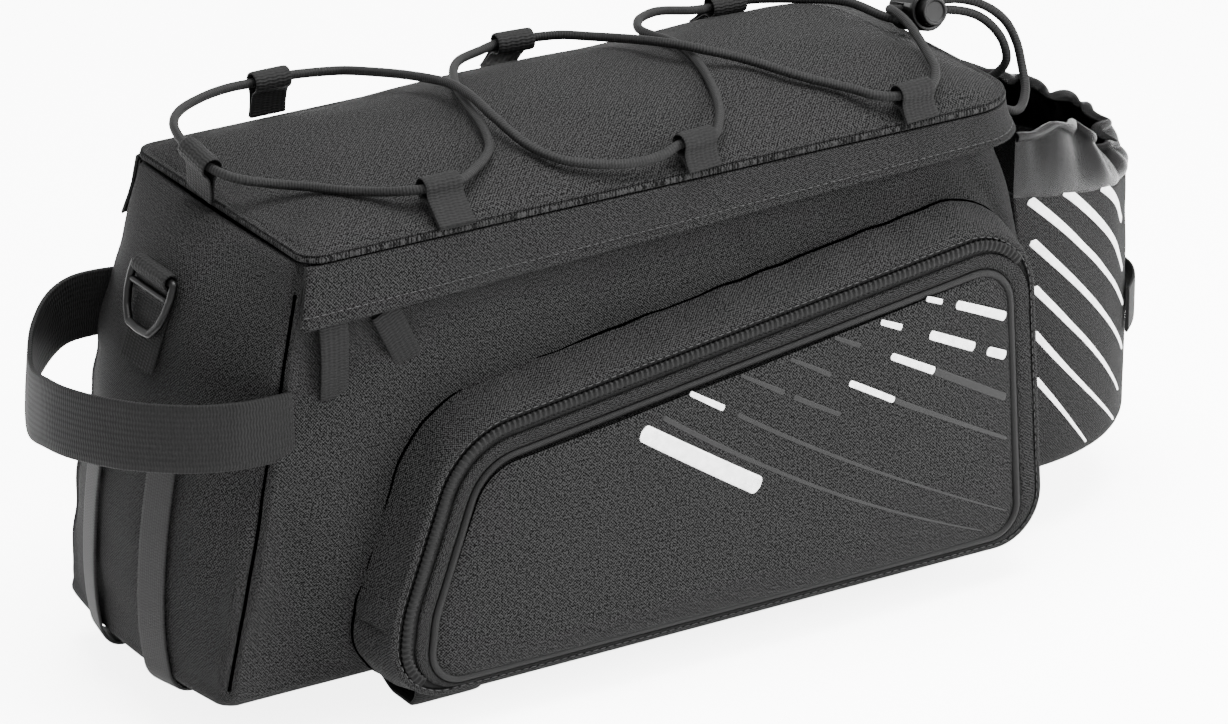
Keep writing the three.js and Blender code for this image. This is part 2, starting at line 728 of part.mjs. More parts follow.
// The frame in which the ring tab is drawn: its origin at the tab's top on the left end, n away
// from the bag and u up the slanted end
const tabFoot = new THREE.Vector3(leftFace(0, tabTop - tabHeight), 0, tabTop - tabHeight)
const tabHead = new THREE.Vector3(leftFace(0, tabTop), 0, tabTop)
const tabUp = tabHead.clone().sub(tabFoot).normalize()
const tabOut = new THREE.Vector3(-tabUp.z, 0, tabUp.x)
const tabFrame = new THREE.Matrix4()
  .makeBasis(tabOut, tabUp, new THREE.Vector3(0, 1, 0).multiplyScalar(tabOut.clone().cross(tabUp).y))
  .setPosition(tabHead.clone().addScaledVector(tabOut, fit + 1.5))
const tubeHole = ringWire / 2 + 0.5
const tubeOut = tubeHole + webbing
const ringOut = webbing + tubeHole + 0.1
const ringDown = tubeOut + 1
function ringTab() {
  const shape = new THREE.Shape()
  const start = -Math.PI / 3
  shape.moveTo(0, -tabHeight)
  shape.lineTo(webbing, -tabHeight)
  shape.lineTo(webbing, -ringDown - tubeOut - 2)
  shape.lineTo(webbing * 2, -ringDown - tubeOut - 2)
  shape.lineTo(webbing * 2, -ringDown + tubeOut * Math.sin(start) - 0.5)
  shape.absarc(ringOut, -ringDown, tubeOut, start, Math.PI * 0.75, false)
  shape.lineTo(0, 0)
  shape.closePath()
  const hole = new THREE.Path()
  hole.absarc(ringOut, -ringDown, tubeHole, 0, 2 * Math.PI, true)
  shape.holes.push(hole)
  const solid = { depth: tabWidth, bevelEnabled: false, curveSegments: 5 }
  const tab = new THREE.ExtrudeGeometry(shape, solid)
  return tab.translate(0, 0, -tabWidth / 2).applyMatrix4(tabFrame)
}

// Meshes joined or cut as true solids
function toManifold(geometry) {
  const bare = geometry.clone()
  bare.deleteAttribute('normal')
  bare.deleteAttribute('uv')
  const merged = mergeVertices(bare, 1e-4)
  return new wasm.Manifold(new wasm.Mesh({
    numProp: 3,
    vertProperties: Float32Array.from(merged.attributes.position.array),
    triVerts: Uint32Array.from(merged.index.array),
  }))
}
function fromManifold(manifold) {
  const mesh = manifold.getMesh()
  const geometry = new THREE.BufferGeometry()
  geometry.setAttribute('position', new THREE.BufferAttribute(mesh.vertProperties, 3))
  geometry.setIndex(new THREE.BufferAttribute(mesh.triVerts, 1))
  geometry.computeVertexNormals()
  return geometry
}

// The ring in the tab: a straight bar, two arms to a rounded tip, and a middle bar
const ringBarLength = tabWidth + 2 * (ringWire / 2 + 0.5)
function dRing() {
  const half = ringBarLength / 2
  const outline = [[-half, 0], [half, 0], [half + 0.4, -0.25], [half - 0.3, -0.5], [half - 2.4, -0.75],
    [half - 6.4, -0.97], [0, -1], [-half + 6.4, -0.97], [-half + 2.4, -0.75], [-half + 0.3, -0.5],
    [-half - 0.4, -0.25]]
  const line = outline.map(([y, down]) => new THREE.Vector3(0, down * ringLength, y))
  const hoop = rod(line, ringWire / 2, 8, true)
  const bar = new THREE.CylinderGeometry(ringWire * 0.4, ringWire * 0.4, 2 * half, 8)
    .rotateX(Math.PI / 2).translate(0, -ringLength * 0.31, 0)
  const joined = fromManifold(toManifold(hoop).add(toManifold(bar)))
  return joined.translate(ringOut, -ringDown, 0).applyMatrix4(tabFrame)
}

// The cord's webbing loops: how far along the bag and on which side each stands, how far its eye
// lies in and up from its foot, as shares of a loop's height, and how far it turns with the cord
const cordLoops = [
  { name: 'near_1', along: -0.2282, side: -1, inward: 0.741, up: 0.635, yaw: 0.0 },
  { name: 'near_2', along: 0.064, side: -1, inward: 0.329, up: 0.547, yaw: 0.12 },
  { name: 'near_3', along: 0.3314, side: -1, inward: 0.341, up: 0.535, yaw: 0.1 },
  { name: 'far_1', along: -0.2392, side: 1, inward: 0.135, up: 0.812, yaw: 0.0 },
  { name: 'far_2', along: 0.0407, side: 1, inward: 0.782, up: 0.782, yaw: -0.1 },
  { name: 'far_3', along: 0.3023, side: 1, inward: 0.794, up: 0.588, yaw: 0.0 },
]
const loopWebbing = 0.9
const eyeRadius = cordDiameter / 2 + 1.5
const seamOut = loopWebbing + 0.4
const seamUp = 0.7
function cordLoop({ foot, eye, axis: across, width }) {
  const up = eye.clone().sub(foot)
  up.addScaledVector(across, -up.dot(across))
  const length = up.length()
  up.normalize()
  const outer = eyeRadius + loopWebbing
  const back = Math.sqrt(outer ** 2 - loopWebbing ** 2)
  const angle = Math.atan2(loopWebbing, -back)
  const shape = new THREE.Shape()
  shape.moveTo(0, -loopWebbing)
  shape.lineTo(length - back, -loopWebbing)
  shape.absarc(length, 0, outer, -angle, angle, false)
  shape.lineTo(0, loopWebbing)
  shape.closePath()
  const hole = new THREE.Path()
  hole.absarc(length, 0, eyeRadius, 0, 2 * Math.PI, true)
  shape.holes.push(hole)
  const loop = new THREE.ExtrudeGeometry(shape, { depth: width, bevelEnabled: false, curveSegments: 4 })
  const frame = new THREE.Matrix4().makeBasis(up, across.clone().cross(up), across)
  return loop.translate(0, 0, -width / 2).applyMatrix4(frame.setPosition(foot))
}
function sidePlace({ along, side, inward, up, yaw }) {
  const footOut = side * (lidPlan.half + seamOut)
  const foot = new THREE.Vector3(along * bodyLength, footOut, bodyHeight + seamUp)
  const eye = foot.clone().add(new THREE.Vector3(0, -side * inward * loopHeight, up * loopHeight))
  return { foot, eye, axis: new THREE.Vector3(1, yaw, 0).normalize(), width: loopWidth }
}
function leftPlace() {
  const foot = new THREE.Vector3(lidPlan.left - seamOut, endLoopWidth / 2, bodyHeight + seamUp)
  const eye = foot.clone().add(new THREE.Vector3(-1, 0, 0.84 * loopHeight))
  return { foot, eye, axis: new THREE.Vector3(0, 1, 0.145).normalize(), width: endLoopWidth }
}
function rightPlace() {
  const foot = new THREE.Vector3(lidPlan.right + seamOut, -loopWidth * 0.7, bodyHeight - 2)
  const eye = foot.clone().add(new THREE.Vector3(0.47 * loopHeight, 0, -0.68 * loopHeight))
  return { foot, eye, axis: new THREE.Vector3(0, 1, 0), width: loopWidth }
}
const loopPlaces = { left: leftPlace(), right: rightPlace() }
cordLoops.forEach((loop) => { loopPlaces[loop.name] = sidePlace(loop) })

// The cord lock: a barrel bored from its front for the button's stem, and across for two cords
const lockAlong = 0.458
const lockSide = 4
const lockRise = 0.794
const lockPlace = new THREE.Vector3(lockAlong * bodyLength, lockSide, bodyHeight + lockRise * lidCrown)
const lockTilt = -0.26
const lockWall = 1.4
const neckLength = 3
const buttonStroke = 3
const buttonOut = 4
const stemRadius = buttonRadius - fit
const cordSlot = { width: cordDiameter + 1, height: 2 * cordDiameter + 0.8 }
function inLock(geometry) {
  return geometry.rotateX(lockTilt).translate(...lockPlace.toArray())
}
function lockBarrel() {
  const barrel = new THREE.CylinderGeometry(lockRadius, lockRadius, lockLength, 20)
  const neck = new THREE.CylinderGeometry(lockRadius * 0.7, lockRadius * 0.7, neckLength, 16)
    .rotateZ(Math.PI / 2).translate(lockRadius + neckLength * 0.3, 0, 0)
  const bore = new THREE.CylinderGeometry(buttonRadius, buttonRadius, lockLength, 20)
    .translate(0, -lockWall, 0)
  const slot = new THREE.BoxGeometry(4 * lockRadius, cordSlot.width, cordSlot.height)
  const body = toManifold(barrel).add(toManifold(neck))
  return inLock(fromManifold(body.subtract(toManifold(bore)).subtract(toManifold(slot))))
}
function lockButton() {
  const length = lockLength - lockWall - buttonStroke + buttonOut
  const button = new THREE.CylinderGeometry(stemRadius, stemRadius, length, 20)
    .translate(0, length / 2 - lockLength / 2 - buttonOut, 0)
  const window = new THREE.BoxGeometry(4 * lockRadius, cordSlot.width + buttonStroke, cordSlot.height)
    .translate(0, -buttonStroke / 2, 0)
  return inLock(fromManifold(toManifold(button).subtract(toManifold(window))))
}

// The elastic cord, closed on itself, through every loop and twice through the lock
function lockPass(up) {
  const eye = new THREE.Vector3(1.2, 0, up).applyAxisAngle(new THREE.Vector3(1, 0, 0), lockTilt)
  return { eye: eye.add(lockPlace), axis: new THREE.Vector3(1, 0, 0), width: 2 * lockRadius + 2.4 }
}
const cordGap = 0.13
function elasticCord() {
  const apart = cordDiameter / 2 + cordGap
  const passes = { ...loopPlaces, lockUpper: lockPass(apart), lockLower: lockPass(-apart) }
  const line = cordRoute.flatMap(({ through, heading, x, y, z }) => {
    if (!through) {
      return [new THREE.Vector3((x * bodyLength) / 2, (y * bodyWidth) / 2, bodyHeight + z * lidCrown)]
    }
    const { eye, axis, width } = passes[through]
    return [-1, 1].map((end) => eye.clone().addScaledVector(axis, end * heading * (width / 2 + 1)))
  })
  return rod(line, cordDiameter / 2, 8, true)
}

// Straps under the bag: one near and one far loop at the handle end, one loop across the middle
function rackLoop(points, x) {
  const line = points.map(([y, z]) => new THREE.Vector3(x, y, z))
  const curve = new THREE.CatmullRomCurve3(line, false, 'centripetal')
  const flat = curve.getPoints(15).map((point) => point.setZ(Math.max(point.z, strapLow)))
  return strip(flat, new THREE.Vector3(1, 0, 0), rackStrapWidth, rackStrapThickness)
}
const strapSeat = -fit - rackStrapThickness / 2
const strapLow = -rackStrapDrop + rackStrapThickness / 2
const strapEdge = bodyWidth / 2 - 2
const middleLoopHalf = 19
function sideRackLoop() {
  return rackLoop([
    [-strapEdge + 9, strapSeat], [-strapEdge + 3, strapSeat * 2.2], [-strapEdge, strapLow * 0.42],
    [-strapEdge + 0.6, strapLow * 0.75], [-strapEdge + 4, strapLow], [-strapEdge + 16, strapLow],
    [-strapEdge + 30, strapLow * 0.6], [-strapEdge + 42, strapSeat * 1.5], [-strapEdge + 50, strapSeat],
  ], rackStrapLeft * bodyLength)
}
function middleRackLoop() {
  const half = middleLoopHalf
  const side = [[half - 6, strapSeat], [half - 1, strapSeat * 1.8], [half, strapLow * 0.5],
    [half - 2, strapLow * 0.85], [half - 8, strapLow]]
  return rackLoop([...side.map(([y, z]) => [-y, z]), ...side.slice().reverse()],
    rackStrapRight * bodyLength)
}

// Materials
function cloth(color, roughness = 0.9) {
  return new THREE.MeshStandardMaterial({ color, roughness, metalness: 0 })
}
const canvas = cloth(0x3a3a3b)
const webCloth = cloth(0x262627, 0.85)
const greyWeb = cloth(0x555557, 0.85)
const zipBlack = cloth(0x161617, 0.6)
const coated = cloth(0x1b1b1c, 0.35)
const elastic = cloth(0x2a2a2b, 0.7)
const plastic = cloth(0x111112, 0.45)

const bag = new THREE.Group()
function add(name, geometry, material) {
  const mesh = new THREE.Mesh(geometry, material.clone())
  mesh.name = name
  bag.add(mesh)
}
add('body_shell', bodyShell(), canvas)
add('lid_panel', lidPanel(), canvas)
add('storm_flap', stormFlap(), canvas)
add('main_zip', mainZip(), zipBlack)
zipSliders.forEach((slider) => {
  add(`zip_slider_${slider.name}`, zipSlider(slider), zipBlack)
  add(`zip_pull_${slider.name}`, zipPull(slider), webCloth)
})
const pocket = {
  gusset: [pocketGusset(), canvas],
  zip: [pocketZip(), zipBlack],
  strip: [pocketStrip(), canvas],
  piping: [pocketPiping(), zipBlack],
  panel: [pocketPanel(), canvas],
}
Object.entries(pocket).forEach(([piece, [geometry, material]]) => {
  add(`pocket_${piece}_near`, geometry, material)
  add(`pocket_${piece}_far`, mirrored(geometry), material)
})
add('handle_strap', handleStrap(), webCloth)
add('end_strip_near', endStrip(-endStripSpacing / 2), greyWeb)
add('end_strip_far', endStrip(endStripSpacing / 2), greyWeb)
add('ring_tab', ringTab(), webCloth)
add('d_ring', dRing(), plastic)
add('bottle_pocket', bottlePocket(), canvas)
add('bottle_collar', bottleCollar(), coated)
add('light_strap', lightStrap(), webCloth)
Object.entries(loopPlaces).forEach(([name, place]) => {
  add(`cord_loop_${name}`, cordLoop(place), webCloth)
})
add('elastic_cord', elasticCord(), elastic)
add('lock_barrel', lockBarrel(), plastic)
add('lock_button', lockButton(), plastic)
add('rack_loop_near', sideRackLoop(), webCloth)
add('rack_loop_far', mirrored(sideRackLoop()), webCloth)
add('rack_loop_middle', middleRackLoop(), webCloth)

// The whole bag stands on its lowest point, centred over the origin
const box = new THREE.Box3().setFromObject(bag)
bag.position.set(-(box.min.x + box.max.x) / 2, -(box.min.y + box.max.y) / 2, -box.min.z)

export default bag
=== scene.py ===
"""A bicycle trunk bag: padded body, domed lid laced with elastic cord, zipped side pockets,
a webbing handle and a gathered bottle pocket.

Shapes are worked out in millimetres in the bag's own frame: x = 0 is the middle of its length,
y = 0 its middle plane and z = 0 the underside of its bottom panel. The long near side faces -Y.
"""
import math

import bmesh
import bpy
import mathutils
import numpy as np
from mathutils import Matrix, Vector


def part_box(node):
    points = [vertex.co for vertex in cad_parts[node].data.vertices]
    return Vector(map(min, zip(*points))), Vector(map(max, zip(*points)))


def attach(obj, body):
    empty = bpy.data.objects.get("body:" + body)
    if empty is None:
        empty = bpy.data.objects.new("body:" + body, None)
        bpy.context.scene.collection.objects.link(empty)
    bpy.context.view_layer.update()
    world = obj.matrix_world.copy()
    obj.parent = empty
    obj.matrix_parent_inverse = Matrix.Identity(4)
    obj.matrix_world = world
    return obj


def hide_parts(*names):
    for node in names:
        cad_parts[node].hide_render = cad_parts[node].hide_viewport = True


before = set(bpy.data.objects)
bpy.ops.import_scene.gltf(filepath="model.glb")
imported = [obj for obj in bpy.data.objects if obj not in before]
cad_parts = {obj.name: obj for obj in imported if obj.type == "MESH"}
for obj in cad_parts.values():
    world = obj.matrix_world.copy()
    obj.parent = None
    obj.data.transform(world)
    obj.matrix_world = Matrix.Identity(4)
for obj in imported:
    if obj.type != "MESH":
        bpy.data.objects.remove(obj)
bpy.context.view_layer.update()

# Body, lid and flap
BODY_LENGTH, BODY_WIDTH, BODY_HEIGHT = 344.0, 126.0, 164.5
LEAN_LEFT, LEAN_RIGHT = 34.0, 15.5
WALL = 3.5
BOTTOM_ROUND = 5.0
SWELL_LEFT, SWELL_RIGHT = 18.0, 4.0
CORNER = 5.0
LID_LEFT, LID_RIGHT, LID_HALF = -138.0, 161.8, 63.0
LID_THICKNESS, LID_CROWN = 3.0, 16.0
LID_CORNER_LEFT, LID_CORNER_RIGHT = 8.0, 22.0
FLAP_LEFT, FLAP_RIGHT = 25.0, 15.0
FLAP_THICKNESS, FLAP_FLARE = 1.6, 2.7
FIT = 0.3

# Outwards from the near side
TOWARDS_VIEWER = np.array([0, -1.0, 0])

# Side pockets
POCKET_LENGTH, POCKET_HEIGHT = 250.0, 108.0
POCKET_CENTRE, POCKET_BASE = 23.0, 2.5
POCKET_FRONT = BODY_WIDTH / 2 + 18.0
POCKET_DOME = 5.0
PIPING = 1.5
STRIP_OUT = PIPING + FIT
STRIP_WIDTH = 5.0
ZIP_OUT = STRIP_OUT + STRIP_WIDTH + FIT
ZIP_WIDTH = 8.0
GUSSET_OUT = ZIP_OUT + ZIP_WIDTH + FIT
# The gusset's wall and flare, and the radius of the dark tube painted as the shadow in its seam at the body
GUSSET_WALL, GUSSET_FLARE, GUSSET_SHADOW_RADIUS = 2.0, 6.0, 0.6
# No zip runs down the bottle side and along the bottom, so the gusset comes closer there
RIGHT_OUT, BOTTOM_OUT = STRIP_OUT + 7, STRIP_OUT + 1

# Handle, ring tab, end strips
HANDLE_WIDTH, HANDLE_THICKNESS = 25.0, 2.4
HANDLE_REACH, HANDLE_HEIGHT = 56.0, 105.0
TAB_WIDTH, TAB_HEIGHT, TAB_TOP = 24.0, 38.0, 146.0
WEBBING = 1.4
RING_WIRE, RING_LENGTH, RING_FIT = 3.0, 21.0, 0.5
END_STRIP_WIDTH, END_STRIP_TOP, END_STRIP_SPACING = 14.0, 84.0, 46.0

# Bottle pocket
BOTTLE_FRONT = BODY_LENGTH / 2 + 71.0
BOTTLE_HALF = 54.5
BOTTLE_BASE, BOTTLE_RIM_BACK, BOTTLE_RIM_FRONT = 9.0, 122.0, 105.0
BOTTLE_FLOOR_MIDDLE, COLLAR_MIDDLE = 195.0, 207.0
COLLAR_HEIGHT, COLLAR_CLOTH = 22.0, 1.5
LIGHT_STRAP_WIDTH, LIGHT_STRAP_HEIGHT = 18.0, 55.0

# Cord and its loops
CORD_RADIUS = 1.7
LOOP_WIDTH, LOOP_HEIGHT, END_LOOP_WIDTH = 14.5, 17.0, 18.0
LOOP_WEBBING = 0.9
EYE_RADIUS = CORD_RADIUS + 1.5

# Loops under the bag
RACK_WIDTH, RACK_DROP, RACK_THICKNESS = 28.0, 17.0, 2.0
RACK_END_PLACE, RACK_MIDDLE_PLACE, RACK_MIDDLE_HALF = -0.238, 0.29, 19.0

# The bag's own zero in the frame, found from two pieces whose place in the bag is known
ORIGIN = np.array([
    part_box("lid_panel")[0][0] * 1000 - LID_LEFT,
    0.0,
    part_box("body_shell")[0][2] * 1000,
])

# The camera as the photograph has it
VIEW_TARGET = np.array([24.2, 0.0, 67.9])
VIEW_AZIMUTH, VIEW_ELEVATION, VIEW_DISTANCE = -31.7, 23.1, 2500.0
LENS_SHARE = 6867.6 / 1228

# Half width as a share of half the body's width, and the ends' swelling, from bottom to seam
BODY_HALF = [(0, 0.935), (0.1, 0.95), (0.28, 0.968), (0.48, 0.975), (0.68, 0.97), (0.86, 0.95),
             (1, 0.925)]
BODY_LEFT = [(0, 0.25), (0.1, 0.62), (0.28, 0.98), (0.48, 1.12), (0.68, 1.1), (0.86, 0.95), (1, 0.02)]
BODY_RIGHT = [(0, 0.3), (0.1, 0.6), (0.28, 1.0), (0.48, 1.0), (0.68, 0.8), (0.86, 0.1), (1, 0)]
LID_RISE = [(0, 0.2), (0.06, 0.42), (0.14, 0.6), (0.22, 0.78), (0.36, 0.95), (0.52, 1.0), (0.66, 0.97),
            (0.8, 0.95), (0.92, 0.8), (1, 0.45)]
HANDLE_RISE = [(-1, 0), (-0.3, -0.05), (0, -0.1), (0.3, -0.16), (0.55, -0.03), (0.75, 0.07), (1, 0.05)]
COLLAR_RISE = [(-90, 1.0), (-65, 1.02), (-45, 0.65), (-25, 0.42), (0, 0.75), (30, 0.95), (60, 1.0),
               (90, 0.95)]
COLLAR_LEAN = [(-90, 0.15), (-65, 0.5), (-45, 0.6), (-25, 0.3), (0, 0.25), (30, 0.45), (60, 0.5),
               (90, 0.15)]

# A pocket panel's corners: shares of half its length and of its height, and the rounding's share
POCKET_CORNERS = [(-1, 0, 0.11), (-0.975, 0.24, 0.3), (-0.82, 0.73, 0.2), (0.945, 1, 0.13), (1, 0, 0.11)]


def smooth(rows, place):
    """A smooth curve through rows of (place, value): on each span a cubic whose slopes are the
    rows' own mean slopes."""
    at, value = np.array(rows, float).T
    slope = np.gradient(value, at)
    place = np.clip(place, at[0], at[-1])
    i = np.clip(np.searchsorted(at, place, side="right") - 1, 0, len(at) - 2)
    span = at[i + 1] - at[i]
    t = (place - at[i]) / span
    return (value[i] * (1 + 2 * t) * (1 - t) ** 2 + span * slope[i] * t * (1 - t) ** 2
            + value[i + 1] * t * t * (3 - 2 * t) + span * slope[i + 1] * t * t * (t - 1))


def ripple(points, length, seed, waves=11):
    """Gentle hills about length apart, from -1 to 1: a sum of plane waves whose directions,
    lengths and phases are drawn once from a seed."""
    draw = np.random.default_rng(seed)
    heading = draw.normal(size=(waves, 3))
    heading *= (2 * np.pi / length * draw.uniform(0.6, 1.5, waves) / np.linalg.norm(heading, axis=1))[:, None]
    return np.sin(points @ heading.T + draw.uniform(0, 2 * np.pi, waves)).sum(-1) / waves ** 0.5 / 1.6


def along(line):
    """The distance walked along a line of points, starting at 0."""
    return np.concatenate([[0], np.cumsum(np.linalg.norm(np.diff(line, axis=0), axis=1))])


def resample(line, count):
    """A line through the same points with count points at even distances."""
    walked = along(line)
    even = np.linspace(0, walked[-1], count)
    return np.stack([np.interp(even, walked, line[:, k]) for k in range(line.shape[1])], 1)


def curve(points, count, closed=False):
    """A smooth line through points, evenly spaced: between two of them a cubic with the slope of
    the chord from the one before to the one after."""
    p = np.array(points, float)
    before = np.roll(p, 1, 0) if closed else np.vstack([2 * p[0] - p[1], p[:-1]])
    after = np.roll(p, -1, 0) if closed else np.vstack([p[1:], 2 * p[-1] - p[-2]])
    gap_in = np.linalg.norm(p - before, axis=1)[:, None] ** 0.5
    gap_out = np.linalg.norm(after - p, axis=1)[:, None] ** 0.5
    slope = ((p - before) / gap_in ** 2 * gap_out + (after - p) / gap_out ** 2 * gap_in) / (gap_in + gap_out)
    last = len(p) if closed else len(p) - 1
    i = np.arange(last)
    j = (i + 1) % len(p)
    span = np.linalg.norm(p[j] - p[i], axis=1)[:, None, None]
    t = np.linspace(0, 1, 24, endpoint=False)[None, :, None]
    a, b = p[i][:, None], p[j][:, None]
    m, n = slope[i][:, None] * span, slope[j][:, None] * span
    fine = (a * (1 + 2 * t) * (1 - t) ** 2 + m * t * (1 - t) ** 2
            + b * t * t * (3 - 2 * t) + n * t * t * (t - 1))
    fine = np.vstack([fine.reshape(-1, p.shape[1]), p[:1] if closed else p[-1:]])
    return resample(fine, count)


def unit(v):
    """Vectors brought to length 1."""
    return v / np.maximum(np.linalg.norm(v, axis=-1, keepdims=True), 1e-9)


def normals(grid):
    """Each grid point's normal: the cross product of its two directions on the grid."""
    return unit(np.cross(np.gradient(grid, axis=1), np.gradient(grid, axis=0)))


def surface_uv(grid):
    """Distances walked over the grid in metres, columns across and rows along."""
    across = np.linalg.norm(np.diff(grid, axis=1, prepend=grid[:, :1]), axis=2)
    down = np.linalg.norm(np.diff(grid, axis=0, prepend=grid[:1]), axis=2)
    columns = np.broadcast_to(np.cumsum(across.max(0)), across.shape)
    rows = np.broadcast_to(np.cumsum(down.max(1))[:, None], down.shape)
    return np.stack([columns, rows], -1) / 1000


def add_piece(name, patches, material, replaces=(), body="bag"):
    """One object from grids of points in the bag's millimetres. Each patch is a grid of rows and
    columns, or a pair of a grid and its UV. Seams that meet are merged and faces point outwards."""
    points, quads, uvs, start = [], [], [], 0
    for patch in patches:
        grid, uv = patch if isinstance(patch, tuple) else (patch, surface_uv(patch))
        rows, columns = grid.shape[:2]
        index = start + np.arange(rows * columns).reshape(rows, columns)
        square = np.stack([index[:-1, :-1], index[:-1, 1:], index[1:, 1:], index[1:, :-1]], -1)
        quads.append(square.reshape(-1, 4))
        points.append(grid.reshape(-1, 3))
        uvs.append(uv.reshape(-1, 2))
        start += rows * columns
    points, quads, uvs = np.vstack(points), np.vstack(quads), np.vstack(uvs)
    mesh = bpy.data.meshes.new(name)
    mesh.vertices.add(len(points))
    mesh.vertices.foreach_set("co", ((points + ORIGIN) / 1000).ravel())
    mesh.loops.add(quads.size)
    mesh.loops.foreach_set("vertex_index", quads.ravel())
    mesh.polygons.add(len(quads))
    mesh.polygons.foreach_set("loop_start", np.arange(0, quads.size, 4))
    mesh.uv_layers.new(name="cloth").data.foreach_set("uv", uvs[quads.ravel()].ravel())
    mesh.update(calc_edges=True)
    joined = bmesh.new()
    joined.from_mesh(mesh)
    bmesh.ops.remove_doubles(joined, verts=joined.verts, dist=2e-6)
    bmesh.ops.dissolve_degenerate(joined, edges=joined.edges, dist=1e-7)
    bmesh.ops.recalc_face_normals(joined, faces=joined.faces)
    joined.to_mesh(mesh)
    joined.free()
    mesh.polygons.foreach_set("use_smooth", np.ones(len(mesh.polygons), bool))
    mesh.materials.append(material)
    piece = bpy.data.objects.new(name, mesh)
    bpy.context.scene.collection.objects.link(piece)
    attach(piece, body)
    if replaces:
        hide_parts(*replaces)
    return piece


def add_webbing(name, line, across, width, thickness, node, **shape):
    """One black webbing band along a line, in place of a CAD node."""
    add_piece(name, [band(line, across, width, thickness, **shape)], BLACK_WEBBING, [node])


def capped(grid):
    """A grid whose first and last rows are closed with their own middle points."""
    first = np.broadcast_to(grid[0].mean(0), grid[0].shape)
    last = np.broadcast_to(grid[-1].mean(0), grid[-1].shape)
    return np.concatenate([first[None], (grid[0] * 0.98 + first * 0.02)[None], grid,
                           (grid[-1] * 0.98 + last * 0.02)[None], last[None]])


def line_frames(line, across, closed=False):
    """Unit directions along a line, out of it and across it."""
    if closed:
        ahead, behind = np.roll(line[:-1], -1, 0), np.roll(line[:-1], 1, 0)
        tangent = unit(ahead - behind)
        tangent = np.vstack([tangent, tangent[:1]])
    else:
        tangent = unit(np.gradient(line, axis=0))
    across = np.broadcast_to(np.array(across, float), line.shape)
    out = unit(np.cross(tangent, across))
    return tangent, out, unit(np.cross(out, tangent))


def band(line, across, width, thickness, closed=False, edge=0.45, waviness=0.0, seed=1):
    """A webbing band along a line. Its section is a flat bar with rounded edges: half the width
    times a power of the cosine, half the thickness times a power of the sine."""
    _, out, side = line_frames(line, across, closed)
    angle = np.linspace(0, 2 * np.pi, 33)
    c, s = np.cos(angle), np.sin(angle)
    wide = np.sign(c) * np.abs(c) ** 0.28 * width / 2
    thick = np.sign(s) * np.abs(s) ** edge * thickness / 2
    grid = line[:, None] + side[:, None] * wide[None, :, None] + out[:, None] * thick[None, :, None]
    if waviness:
        grid = grid + out[:, None] * (waviness * ripple(grid, 22, seed))[..., None]
    walked = along(line)
    uv = np.stack(np.broadcast_arrays(wide[None], walked[:, None]), -1) / 1000
    if closed:
        return grid, uv
    grid = capped(grid)
    uv = np.concatenate([uv[:1], uv[:1], uv, uv[-1:], uv[-1:]])
    return grid, uv


def tube(line, radius, sides=12, closed=False):
    """A round tube along a line: circles of one radius whose zero direction is carried on from
    one point to the next by leaving out what lies along the line."""
    tangent = line_frames(line, (0, 0, 1), closed)[0]
    start = np.cross(tangent[0], (0.3, 0.2, 1))
    zero = [start / np.linalg.norm(start)]
    for step in tangent[1:]:
        carried = zero[-1] - step * (zero[-1] @ step)
        zero.append(carried / np.linalg.norm(carried))
    zero = np.array(zero)
    if closed:
        other = np.cross(tangent[-1], zero[-1])
        turn = math.atan2(zero[0] @ other, zero[0] @ zero[-1])
        share = (np.linspace(0, 1, len(line)) * turn)[:, None]
        zero = zero * np.cos(share) + np.cross(tangent, zero) * np.sin(share)
    other = np.cross(tangent, zero)
    angle = np.linspace(0, 2 * np.pi, sides + 1)
    radius = np.broadcast_to(radius, (len(line),))[:, None, None]
    grid = line[:, None] + radius * (zero[:, None] * np.cos(angle)[None, :, None]
                                     + other[:, None] * np.sin(angle)[None, :, None])
    uv = np.stack(np.broadcast_arrays(angle[None] / 2 / np.pi * 0.01, along(line)[:, None] / 1000), -1)
    if closed:
        return grid, uv
    return capped(grid), np.concatenate([uv[:1], uv[:1], uv, uv[-1:], uv[-1:]])


def stitches(line, out, pitch=3.2, length=2.3, radius=0.22):
    """A row of thread stitches on a line: for each, four rings of five points, thin at both ends,
    lying along the line and half sunk in the cloth. out is the cloth's outward direction."""
    walked = along(line)
    middles = np.arange(pitch / 2, walked[-1], pitch)
    at = np.stack([np.interp(middles, walked, line[:, k]) for k in range(3)], 1)
    ahead = np.stack([np.interp(middles + 0.5, walked, line[:, k]) for k in range(3)], 1)
    forward = unit(ahead - at)
    out = np.broadcast_to(out, line.shape)
    outward = np.stack([np.interp(middles, walked, out[:, k]) for k in range(3)], 1)
    outward = unit(outward - forward * (outward * forward).sum(1)[:, None])
    side = np.cross(forward, outward)
    angle = np.linspace(0, 2 * np.pi, 6)
    station = np.array([-1, -1, -0.55, 0.55, 1, 1]) * length / 2
    thick = np.array([0, 0.5, 1, 1, 0.5, 0]) * radius
    grid = (at[:, None, None] + forward[:, None, None] * station[None, :, None, None]
            + thick[None, :, None, None] * (outward[:, None, None] * np.cos(angle)[None, None, :, None] * 1.3
                                            + side[:, None, None] * np.sin(angle)[None, None, :, None]))
    return [row for row in grid]


def new_group(name, inputs, outputs):
    """An empty shader node group with float, vector or colour sockets."""
    group = bpy.data.node_groups.new(name, "ShaderNodeTree")
    kinds = {"vector": "NodeSocketVector", "float": "NodeSocketFloat", "colour": "NodeSocketColor"}
    for label, kind in inputs:
        group.interface.new_socket(label, in_out="INPUT", socket_type=kinds[kind])
    for label, kind in outputs:
        group.interface.new_socket(label, in_out="OUTPUT", socket_type=kinds[kind])
    return group, group.nodes.new("NodeGroupInput"), group.nodes.new("NodeGroupOutput")


